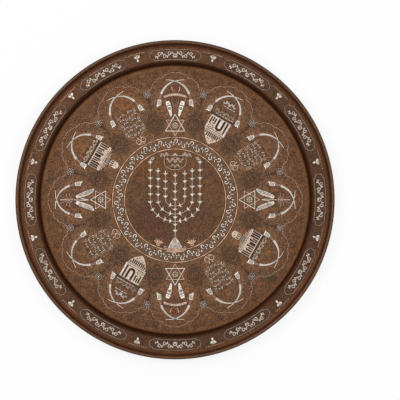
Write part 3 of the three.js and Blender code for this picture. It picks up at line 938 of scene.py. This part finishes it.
def set_wreath(via, number, kind, solder, graven):
    silver, bands = Stock(), Stock()
    foot = wreath_foot(SLANTED_FOOT if kind in STARRED else NOTCHED_FOOT)
    for flip, drop in ((1, 0.0), (-1, 0.025)):
        put = flipped(via, flip)
        for stock, shares in ((silver, np.linspace(0, 0.7, 30)), (bands, np.linspace(0.705, 0.835, 8))):
            path, wide = put(along(BRANCH, shares)[0]), width_at(shares)
            stock.ribbon(path, wide, PROUD - drop)
            solder.bed(path, wide + 1.7, drop * 0.4)
        lay(silver, [(foot, None)], put, solder)
        for cut in (0.725, 0.76, 0.795, 0.825):
            spot, _, side = point_on(BRANCH, cut)
            reach = side * width_at(cut) * 0.42
            graven.scratch(put([spot + reach, spot, spot - reach]), 0.7)
        for cut in np.arange(0.2, 0.69, 0.032):
            spot, ahead, side = point_on(BRANCH, cut)
            for reach in (-side, side):
                graven.scratch(put([spot + ahead, spot + reach * width_at(cut) * 0.34 - ahead]), 0.55)
        spots, ways = along(BRANCH, [0.86, 0.97])
        for hand in (-0.6, -0.2, 0.2, 0.6):
            graven.scratch(put(spots + side_of(ways) * hand * pts((3.4,), (4.4,))), 1.0)
    node = "wreath_" + number
    silver.piece(node + "_silver", BRIGHT, node)
    bands.piece(node + "_bands", MAUVE)


# Which way a star's silver triangle points (90 is outward, -90 toward the tray's centre), and the
# radius, centre and wire's width of its silver and of its copper triangle
STARS = {"01": (-90, (20.4, 143.9, 1.4), (19.4, 143.8, 1.2)),
         "04": (90, (21.4, 143.6, 1.5), (20.0, 144.0, 1.2)),
         "07": (90, (19.6, 144.0, 1.4), (20.0, 144.2, 1.2)),
         "10": (90, (21.4, 143.6, 1.5), (20.0, 144.0, 1.2))}


def set_star(via, number, solder):
    """Two crossed triangles, one of silver and one of copper, with a flower in the middle."""
    lead, silver_line, copper_line = STARS[number]
    silver, copper, flower = Stock(), Stock(), Stock()
    for stock, spin, size, drop in ((silver, lead, silver_line, 0.0), (copper, -lead, copper_line, 0.03)):
        radius, centre, width = size
        a = np.radians([spin, spin + 120, spin + 240])
        line = via(np.c_[radius * np.cos(a), centre + radius * np.sin(a)])
        stock.ribbon(line, width, PROUD - drop, closed=True)
        solder.bed(line, width + 1.4, drop * 0.4, closed=True)
    lay(flower, rosette(6.6, 8) + dots_round(7.9, 8, 1.4, 0.4), moved(0, STAR, via=via), solder, 0.4)
    node = "star_" + number
    flower.piece(node + "_flower", PALE)
    silver.piece(node + "_silver", BRIGHT, node)
    copper.piece(node + "_copper", COPPER)


def barbs(graven, put, spine, widths, first, last, reach, lean):
    """Short cuts on both sides of a leaf's spine."""
    for k in range(first, last, 2):
        way = spine[k + 1] - spine[k - 1]
        way /= np.hypot(*way)
        side = np.array([-way[1], way[0]]) * widths[k] * reach
        for hand in (-1, 1):
            graven.scratch(put([spine[k], spine[k] + side * hand + way * lean]), 0.7)


def set_horns(via, number, solder, graven):
    """Two curved horns, and a sheaf growing from their joined tips."""
    silver, sheaf = Stock(), Stock()
    spine = bezier((20.8, 157.4), (12.4, 165.0), (11.4, 178.0), (4.6, 191.6), 28)
    t = np.linspace(0, 1, len(spine))
    widths = np.interp(t, np.linspace(0, 1, 6), [4.2, 7.8, 9.2, 9.2, 8.2, 6.0])
    ragged = widths + 0.5 * np.sign(np.sin(t * pi * 14)) * (t > 0.1) * (t < 0.9)
    for flip, drop in ((1, 0.0), (-1, 0.02)):
        put = flipped(via, flip)
        lay(silver, [(outline_of(spine, ragged), None)], put, solder, drop=drop)
        for hand in (-0.26, 0.04):
            graven.scratch(put((spine + leftward(spine) * (widths * hand)[:, None])[3:-4]), 0.8)
        barbs(graven, put, spine, widths, 3, 24, 0.4, -2.0)
    strokes = [(quad((0.6, 168.0), (-1.6, 176), (-2.4, 183), 8), 2.0),
               (quad((1.4, 172), (0.8, 184), (0, 196), 8), 1.5)]
    lay(silver, strokes, via, solder, 0.5)
    node = "horn_pair_" + number
    silver.piece(node + "_silver", SILVER, node)
    strands = [(pts((0, 197.5), (0, 209), (0, 222)), np.array([1.7, 2.0, 2.6]))]
    strands += [(quad((start, 202.6), (start * 1.6, 212), (end, 221.5), 8), 0.9)
                for start, end in ((-1.3, -6.2), (1.3, 6.2))]
    strands += paired([(quad((1.8, 198.5), (7.5, 208.5), (13.6, 202.5), 10), 1.1),
                       (quad((2.0, 203), (6.5, 213), (12.0, 209), 8), 1.0)])
    lay(sheaf, strands, via, solder, 0.6)
    sheaf.piece("sheaf_" + number, ROSE)


def set_leaves(via, number, solder, graven):
    """Two leaves leaning together over the star, and a bar bowed over them."""
    spine = quad((7.6, 161.2), (10.2, 177), (15.4, 190.6), 16)
    t = np.linspace(0, 1, len(spine))
    widths = np.interp(t, [0, 0.12, 0.34, 0.5, 0.85, 1], [1.8, 4.8, 6.0, 8.2, 9.0, 6.8])
    for flip, node in ((1, "leaf_right_" + number), (-1, "leaf_left_" + number)):
        put, silver = flipped(via, flip), Stock()
        lay(silver, [(outline_of(spine, widths), None)], put, solder)
        graven.plate(put(dot_shape(*spine[8], 6.2, 6)), PROUD + 0.02, 0, bevel=FINE)
        silver.plate(put(dot_shape(*spine[8], 2.2)), PROUD + 0.04, 0, bevel=0.1)
        graven.scratch(put(spine[11] + leftward(spine)[11] * pts((4.2,), (-4.2,))), 1.5)
        silver.piece(node + "_silver", BRIGHT, node)
        graven.scratch(put(spine[11:-2]), 0.9)
        barbs(graven, put, spine, widths, 11, 15, 0.38, 1.6)
        barbs(graven, put, spine, widths, 2, 5, 0.3, 1.2)
    silver, copper, ends, rays = Stock(), Stock(), Stock(), Stock()
    bow, wide = quad((-22.0, 198.6), (0, 208.6), (22.0, 198.6), 30), 4.6
    silver.ribbon(via(between(bow, 0.2, 0.8)), wide)
    solder.bed(via(bow), wide + 1.7)
    for start, end in ((0.0, 0.195), (0.805, 1.0)):
        ends.ribbon(via(between(bow, start, end, 6)), wide)
    for share in np.linspace(0.24, 0.76, 9):
        spot, _, side = point_on(bow, share)
        graven.scratch(via([spot - side * 1.9, spot + side * 1.9]), 0.8)
    for flip in (1, -1):
        lay(rays, [(pts((flip * 1.0, 169), (flip * 7.0, 196)), 0.8),
                   (pts((flip * 0.4, 173), (flip * 3.0, 194)), 0.6)], via, drop=0.06)
    strokes = [(quad((-9.1, 218.4), (-9.4, 213), (-6.6, 209.6), 8), 1.3),
               (quad((6.3, 218.4), (6.4, 213), (3.8, 209.6), 8), 1.3)]
    lay(copper, strokes, via, solder, 0.4, 0.04)
    node = "bowed_bar_" + number
    silver.piece(node + "_silver", PALE, node)
    ends.piece(node + "_ends", ROSE)
    copper.piece("strokes_" + number, COPPER)
    rays.piece("rays_" + number, MAUVE)


def arch(x, half, low, high):
    """A door or window with a round head toward the tray's centre."""
    return np.r_[pts((x - half, high), (x + half, high), (x + half, low + half)),
                 arc(x, low + half, half, half, 0, -180, 8)[1:]]


def doorway(x, half, leaf_half, low, high):
    """The opening round a door that stands in the middle of its arch."""
    frame_line, door = arch(x, half, low, high), arch(x, leaf_half, low + 4.8, high)
    return np.r_[frame_line[1:], frame_line[:1], door[:1], door[2:][::-1], door[1:2]]


def set_front(silver, solder, via, half, holes):
    """A building's silver front with its openings, from one half of its outline."""
    loop = anticlockwise(via(both_sides(half)))
    silver.plate(loop, holes=[via(hole) for hole in holes])
    solder.plate(inset(loop, -0.9), CUT, bevel=FINE)


def lattice(graven, via, half, holes, step, width):
    """Crossed lines over a front, kept clear of its edges and openings."""
    low, high = half[0, 1], half[-1, 1]
    for lean in (-1, 1):
        for start in np.arange(-60, 60, step):
            r = np.arange(low + 1, high, 0.8)
            x = start + lean * (r - (low + high) / 2)
            clear = np.abs(x) < np.interp(r, half[:, 1], half[:, 0]) - 1.4
            for hole in holes:
                (x0, r0), (x1, r1) = hole.min(0) - 1.0, hole.max(0) + 1.0
                clear &= (x < x0) | (x > x1) | (r < r0) | (r > r1)
            runs = np.split(np.c_[x, r], np.flatnonzero(np.diff(clear.astype(int))) + 1)
            for k, run in enumerate(runs):
                if clear[0] ^ bool(k % 2) and len(run) > 2:
                    graven.scratch(via(run), width)


def ground_line(trim, solder, via, r, half):
    """The dark line a building stands on, and a row of dashes under it."""
    solder.bed(via(pts((-30, r), (30, r))), 1.8)
    lay(trim, dashed(pts((-half, r + 3.6), (half, r + 3.6)), 4.6, 2.0, 1.5), via, solder, 0.7)


def set_tall_hall(via, number, solder, graven):
    """A domed building with one large door."""
    silver, trim, rows = Stock(), Stock(), Stock()
    dome = quad((0, 124.9), (15.2, 134.5), (19, 148.9), 10)
    half = np.r_[dome, pts((19.6, 150.4), (21.5, 149.6), (21.5, 179.9))]
    openings = [doorway(-3.4, 7.2, 3.3, 155.4, 178.4), arch(-15.8, 1.6, 154.4, 178.4),
                arch(8.6, 1.4, 164, 176), arch(13.0, 1.3, 167.4, 177), arch(17.4, 1.4, 162, 176)]
    for x in np.arange(-15.0, 16, 3.75):
        edge = np.interp(abs(x) + 1.0, half[:12, 0], half[:12, 1])
        openings.append(arch(x, 1.15, max(138.2, edge + 1.8), 147.4))
    for x, r in ((-6, 135.2), (-2.2, 132.2), (2.6, 134.6), (6.8, 135.6), (7.4, 158.0), (12.2, 156.4),
                 (16.8, 158.0), (9.8, 161.0), (14.4, 162)):
        openings.append(dot_shape(x, r, 2.3, 6))
    set_front(silver, solder, via, half, openings)
    left_part = pts((-30, 150), (5, 182))
    lattice(graven, via, pts((3, 152), (19, 152.2), (20, 178)), [*openings, left_part], 3.6, 1.1)
    for r, reach in ((149.6, 18.5), (153.4, 20.4)):
        graven.scratch(via(pts((-reach, r), (reach, r))), WIRE)
    for x, reach, low, high in ((-19.3, 1.6, 151.6, 179.2), (-3.4, 2.7, 161.4, 177.8),
                                (10.8, 0.8, 166.8, 179)):
        strip = pts((x - reach, low), (x + reach, low), (x + reach, high), (x - reach, high))
        lay(trim, [(strip, None)], via, drop=-0.02)
    node = "tall_hall_" + number
    silver.piece(node + "_silver", PALE, node)
    ground_line(trim, solder, via, 182.0, 22)
    lay(trim, dashed(pts((-15, 204.6), (17, 204.6)), 4.6, 2.0, 1.4), via, solder, 0.6)
    lay(rows, vine(44, 8.0, 5.4, 1.2), moved(0, 191.6, via=via), solder, 0.6)
    lay(trim, vine(26, 8.6, 6.4, 1.4), moved(0, 211.6, via=via), solder, 0.6)
    trim.piece(node + "_trim", SILVER)
    rows.piece(node + "_vine", DULL)


# The wide hall's slots as (across, half width, head), and their sill
SLOTS = [(-22.8, 1.5, 161.0), (-18.6, 1.3, 161.4), (-13.6, 1.5, 165.5), (-9.4, 1.1, 168.5),
         (-5.4, 1.2, 163.0), (0.4, 2.7, 166.0), (6.2, 1.2, 163.0), (10.0, 1.2, 167.5), (14.3, 1.6, 161.0),
         (18.6, 1.6, 161.0), (22.8, 1.5, 161.0)]
SILL = 178.6


def set_wide_hall(via, number, solder, graven):
    """A long building of many columns, with a gable and a round lantern over it."""
    silver, trim, gable = Stock(), Stock(), Stock()
    dome = arc(0, 134.2, 7.2, 7.2, -90, 4, 10)
    lantern = np.r_[dome, pts((6.4, 138.4), (6.8, 143.8), (5.0, 145.4), (0, 145.6))]
    drum = [arch(x, 1.1, 138.0, 144.0) for x in (-3.9, 0, 3.9)]
    eyes = [dot_shape(-2.6, 134.2, 1.8, 6), dot_shape(1.8, 131.4, 1.8, 6)]
    set_front(silver, solder, via, lantern, drum + eyes)
    slots = [arch(x, width, low, SILL) for x, width, low in SLOTS]
    slots += [dot_shape(x, 158.4, 2.0, 6) for x in np.arange(-20.0, 21, 4.0)]
    set_front(silver, solder, via, pts((0, 155.6), (25.5, 155.6), (25.5, 180.9), (0, 180.9)), slots)
    for x, low in ((-11.5, 161.6), (-7.6, 162.4), (-3.0, 163.2), (3.6, 163.2), (7.9, 162.4), (11.9, 161.6)):
        graven.scratch(via(pts((x - 1.4, low), (x + 1.2, low + 3.0), (x - 1.2, low + 6.5))), 0.8)
    roof = both_sides(pts((0, 146.0), (7.2, 147.0), (26, 155.4), (0, 155.4)))
    solder.plate(via(roof), CUT - 0.008, bevel=FINE)
    for r, reach in ((148.6, 8.4), (151.2, 15.0), (153.8, 21.5)):
        for hand in (-1, 1):
            lay(gable, [(pts((hand * 4.6, r), (hand * reach, r)), 1.6)], via)
    lay(gable, [dot(0, 124.6, 1.9)], via, solder, 0.4)
    lay(silver, [(pts((x, 147.0), (x, 154.4)), WIRE) for x in (-2.6, 0, 2.6)], via)
    node = "wide_hall_" + number
    silver.piece(node + "_silver", PALE, node)
    gable.piece(node + "_gable", ROSE)
    ground_line(trim, solder, via, 182.9, 24)
    lay(trim, vine(50, 8.8, 6.2, 1.4), moved(0, 190.4, via=via), solder, 0.8)
    trim.piece(node + "_vine", PALE)


def set_tablet(via, number, solder):
    """Two columns of leafwork in a thin frame, with a looped knot toward the tray's centre."""
    rows, knot = Stock(), Stock()
    sprigs = [(roll(-6.6, 0.4, -40, 2.6, -1, 0.95, 10, 0.4), 1.2), leaf(-2.4, -2.2, 62, 5.4, 2.2),
              (roll(1.4, 1.6, -62, 2.2, 1, 0.8, 10, 0.5), 1.2), leaf(4.6, 2.4, -58, 5.2, 2.2),
              dot(-5.0, -2.6, 1.6)]
    for k, r in enumerate(np.arange(150.0, 193, 8.3)):
        for x in (-11.0, 10.6):
            hand = 1 if (k + (x > 0)) % 2 else -1
            row = [(shape * (hand, 1), width) for shape, width in sprigs]
            lay(rows, row, moved(x, r, via=via), solder, 0.7)
    for line in (pts((-19.5, 147), (-17, 144.8), (0, 145.6), (17, 144.8), (19.5, 147)),
                 pts((-20, 149), (-20, 196)), pts((20, 149), (20, 196)), pts((0, 148), (0, 195))):
        lay(rows, dashed(line, 5.0, 2.4, 0.8), via, drop=0.07)
    rows.piece(f"tablet_{number}_leafwork", PALE)
    for flip, drop in ((1, 0.02), (-1, 0)):
        loop = via(arc(flip * 4.9, 131.6, 4.3, 5.0, 0, 345, 23))
        knot.ribbon(loop, 1.8, PROUD - drop, closed=True)
        solder.bed(loop, 3.2, closed=True)
    ears = [(roll(1.0, 126.2, -60, 2.6, 1, 0.8, 10, 0.5), 1.3), leaf(4.4, 131.6, 40, 3.0, 1.8),
            leaf(1.6, 137.0, 52, 5.4, 2.2)]
    lay(knot, paired(ears), via, solder, 0.5)
    knot.piece("knot_" + number, ROSE)


def border_line():
    """Half of the lobed border outside a medallion, from a flower to the medallion's axis."""
    corners = [(51.3, 210.3), (44.8, 218.4), (38.5, 227.8), (24.9, 235.4), (13.2, 243.0), (0, 244.5)]
    bulges = [(46, 213), (44, 226), (34, 236), (20, 243.5), (6.5, 248.5)]
    lobes = [quad(*lobe)[:-1] for lobe in zip(corners, bulges, corners[1:])]
    return np.r_[np.concatenate(lobes), pts(corners[-1])]


def set_medallions():
    solder, graven = Stock(), Stock()
    beads = [bead for bead, _ in dashed(border_line(), 2.3, 1.3, 0.9)]
    inner = {"horns": set_horns, "leaves": set_leaves, "tall_hall": set_tall_hall,
             "wide_hall": set_wide_hall}
    speckled = dots_round(0, 1, 2.2) + dots_round(3.1, 6, 1.7, 0.3) + dots_round(6.0, 11, 1.6)
    for i, kind in enumerate(KINDS):
        via, number = in_medallion(i), f"{i + 1:02d}"
        set_wreath(via, number, kind, solder, graven)
        if kind in STARRED:
            set_star(via, number, solder)
        if kind == "plain":
            set_tablet(via, number, solder)
        else:
            inner[kind](via, number, solder, graven)
        border, flower = Stock(), Stock()
        for flip in (1, -1):
            put = flipped(via, flip)
            for bead in beads:
                border.ribbon(put(bead), 0.9, 0.1, bevel=SLIM)
            solder.bed(put(border_line()), 2.2, 0.01)
        border.piece("lobed_border_" + number, COPPER)
        lay(flower, speckled, on_ring(FLOWER, (i + 0.5) * PITCH), solder, 0.7)
        flower.piece("flower_" + number, BRIGHT)
    solder.piece("solder_and_shade_in_medallions", SOLDER_AND_SHADE)
    graven.piece("medallion_engraving", SOLDER_AND_SHADE)


set_medallions()


# The rim: panels with leafwork, and the trefoils between them

def panel_line():
    """The wire frame of a rim panel, with rounded lobes at its ends, as (along, height)."""
    quarter = np.r_[pts((0, 10.0), (40, 10.0)), quad((40, 10.0), (42.6, 10.0), (42.8, 7.6), 5)[1:],
                    arc(42.8, 0, 7.4, 7.2, 84, 0, 12)]
    end = np.r_[quarter, (quarter * (1, -1))[::-1][1:]]
    return spread(np.r_[end, mirror(end)[::-1][1:-1]], 4.0)


def set_rim():
    solder, trim = Stock(RIM), Stock(RIM)
    three = [leaf(0, 1.0, -90, 7.0, 4.4), leaf(-0.3, 0.8, 134, 8.0, 4.2), leaf(0.3, 0.8, 46, 8.0, 4.2),
             (pts((0, 3.6), (0, 6.6)), 1.6), (pts((-3.4, 7.0), (3.4, 7.0)), 1.0)]
    edging = dashed(np.c_[np.linspace(-20, 20, 16), np.full(16, 10.2)], 2.0, 2.2, 0.8)
    for i in range(SECTORS):
        number = f"{i + 1:02d}"
        spot, gap = on_ring(RIM_MID, i * PITCH), on_ring(RIM_MID, (i + 0.5) * PITCH)
        wire, leafwork, trefoil = Stock(RIM), Stock(RIM), Stock(RIM)
        line = spot(panel_line())
        wire.ribbon(line, 0.9, closed=True)
        solder.bed(line, 2.6, closed=True)
        wire.piece(f"rim_panel_{number}_wire", DULL, "rim_panel_" + number)
        lay(leafwork, vine(78, 14.0, 9.7, 1.4), spot, solder, 0.55)
        leafwork.piece("rim_leafwork_" + number, SILVER)
        lay(trefoil, three, gap, solder, 0.7)
        trefoil.piece(f"rim_trefoil_{number}_silver", SILVER, "rim_trefoil_" + number)
        for bead, width in edging:
            trim.ribbon(gap(bead), width, 0.08, bevel=SLIM)
    trim.piece("rim_edging", COPPER)
    solder.piece("solder_and_shade_on_rim", SOLDER_AND_SHADE)


set_rim()


# Engraving all over the ground

TRIES = 2400


def scrollwork(seed, inner, outer, half_angle, size, width):
    """Curls with small leaves that fill a wedge, placed by chance, as (path, width)."""
    chance = random.Random(seed)
    spots = []
    for _ in range(TRIES):
        radius = sqrt(chance.uniform(inner ** 2, outer ** 2))
        turn = chance.uniform(0, half_angle)
        big = chance.uniform(0.7, 1.25) * size
        x, y = radius * cos(turn), radius * sin(turn)
        edge = min(y, abs(x * sin(half_angle) - y * cos(half_angle)))
        if edge < big * 0.7 or radius - big < inner or radius + big > outer:
            continue
        if all(hypot(x - a, y - b) > (big + c) * 0.86 for a, b, c, _, _ in spots):
            spots.append((x, y, big, chance.uniform(0, TURN), chance.choice((-1, 1))))
    found = []
    for x, y, big, heading, hand in spots:
        start = (x + big * cos(heading), y + big * sin(heading))
        found.append((curl(*start, heading + hand * pi / 2, big, hand, 1.45, 20, 0.25), width))
        for k in (0.3, 1.2, 2.2, 3.2, 4.3):
            a = heading + hand * k
            root = (x + big * 0.9 * cos(a), y + big * 0.9 * sin(a))
            one = leaf_shape(*root, a + hand * 0.9, big * 0.55, big * 0.26, 3)
            found.append((np.r_[one, one[:1]], width * 0.85))
    return found


def cut_round(stock, wedge, sectors):
    for k in range(sectors):
        for flip in (1, -1):
            for path, width in wedge:
                stock.line(turned(path * (1, flip), TURN * k / sectors), width, rise=CUT * 0.7)


def set_engraving():
    cuts, rim_cuts = Stock(), Stock(RIM)
    cut_round(cuts, scrollwork(7, 123, 255.5, PITCH / 2, 4.6, 0.75), SECTORS)
    cut_round(cuts, scrollwork(11, 8, 95.5, PITCH, 4.4, 0.7), SECTORS // 2)
    cut_round(rim_cuts, scrollwork(5, 269.5, 291.5, PITCH / 2, 3.0, 0.6), SECTORS)
    for i in range(SECTORS):
        # a dense rosette between two medallions
        spot = on_ring(ROSETTE, (i + 0.5) * PITCH)
        for radius in (6, 10.5, 15, 19):
            cuts.line(spot(arc(0, 0, radius * 0.86, radius * 1.15, 0, 352, 44)), 0.9, closed=True)
        for k in range(12):
            a = TURN * k / 12
            cuts.line(spot(leaf_shape(3 * cos(a), 3 * sin(a), a, 13, 4.4)), 0.8, closed=True)
            cuts.line(spot(curl(10 * cos(a), 12 * sin(a), a, 2.8, 1, 1.0, 12)), 0.8)
        # and the twig that joins it to the flower
        stem = on_ring(TWIG, (i + 0.5) * PITCH)
        cuts.line(stem(pts((0, -13), (0.6, -3), (0, 12))), 1.8)
        for y, reach in ((-8, 7), (-1, 8), (6, 7)):
            for flip in (1, -1):
                cuts.line(stem(leaf_shape(0, y, radians(90 - flip * 50), reach, 2.6)), 0.9, closed=True)
        for hand in (-1, 1):
            for x, y, angle, size, width in ((14, 42, 70, 6.4, 1.3), (26, 54, 40, 5.0, 1.2)):
                cuts.line(stem(roll(hand * x, y, 90 + hand * angle, size, hand, 1.4, 24, 0.3)), width)
    for radius in (269.2, 292.0):
        rim_cuts.line(circle(radius, 360), 0.8, closed=True)
    cuts.piece("well_engraving", CUTS)
    rim_cuts.piece("rim_engraving", CUTS)


set_engraving()


# Floor, light and camera

WHITE, GREY = (1, 1, 1, 1), (0.62, 0.62, 0.62, 1)
AMBIENT = 0.62  # strength of the studio's soft light
SHOWN_WHITE = 0.84  # share of the floor's seen colour that is plain white, the rest taking shadows
SENSOR = 36.0
DISTANCE, FRAME_WIDTH, AIM = 4.0, 0.7736, (0.0481, -0.0005)
FOCUS_HEIGHT = 0.0015  # height at which the frame has this width


def set_floor():
    bpy.ops.mesh.primitive_plane_add(size=14, location=(0, 0, -0.0004))
    floor = bpy.context.object
    floor.name = "floor"
    f = Finish("floor_white")
    plain = f.node("BsdfDiffuse", {"Color": GREY}).outputs[0]
    shadowed = f.node("BsdfDiffuse", {"Color": WHITE}).outputs[0]
    glow = f.node("Emission", {"Color": WHITE, "Strength": 1.0}).outputs[0]
    shown = f.node("MixShader", {0: SHOWN_WHITE, 1: shadowed, 2: glow}).outputs[0]
    both = f.node("MixShader", {0: f.seen_directly(), 1: plain, 2: shown}).outputs[0]
    f.node("OutputMaterial", {"Surface": both})
    floor.data.materials.append(f.material)


def set_world():
    world = bpy.data.worlds.new("studio")
    bpy.context.scene.world = world
    w = Nodes(world)
    soft_light, white = (w.node("Background", {"Color": WHITE, "Strength": strength}).outputs[0]
                         for strength in (AMBIENT, 1.0))
    both = w.node("MixShader", {0: w.seen_directly(), 1: soft_light, 2: white}).outputs[0]
    w.node("OutputWorld", {"Surface": both})


def lamp(name, place, size, power):
    data = bpy.data.lights.new(name, "AREA")
    data.shape = "DISK"
    data.size = size
    data.energy = power
    obj = bpy.data.objects.new(name, data)
    obj.location = place
    obj.rotation_mode = "QUATERNION"
    obj.rotation_quaternion = (-Vector(place)).to_track_quat("-Z", "Y")
    bpy.context.scene.collection.objects.link(obj)


def set_camera():
    camera = bpy.data.cameras.new("camera")
    camera.sensor_width = SENSOR
    camera.lens = SENSOR * (DISTANCE - FOCUS_HEIGHT) / FRAME_WIDTH
    view = bpy.data.objects.new("camera", camera)
    view.location = (*AIM, DISTANCE)
    bpy.context.scene.collection.objects.link(view)
    bpy.context.scene.camera = view


set_floor()
set_world()
lamp("key", (-1.5, 1.1, 2.5), 1.6, 28)
lamp("fill", (1.9, 0.3, 2.2), 1.8, 12)
set_camera()
bpy.context.scene.view_settings.view_transform = "Standard"
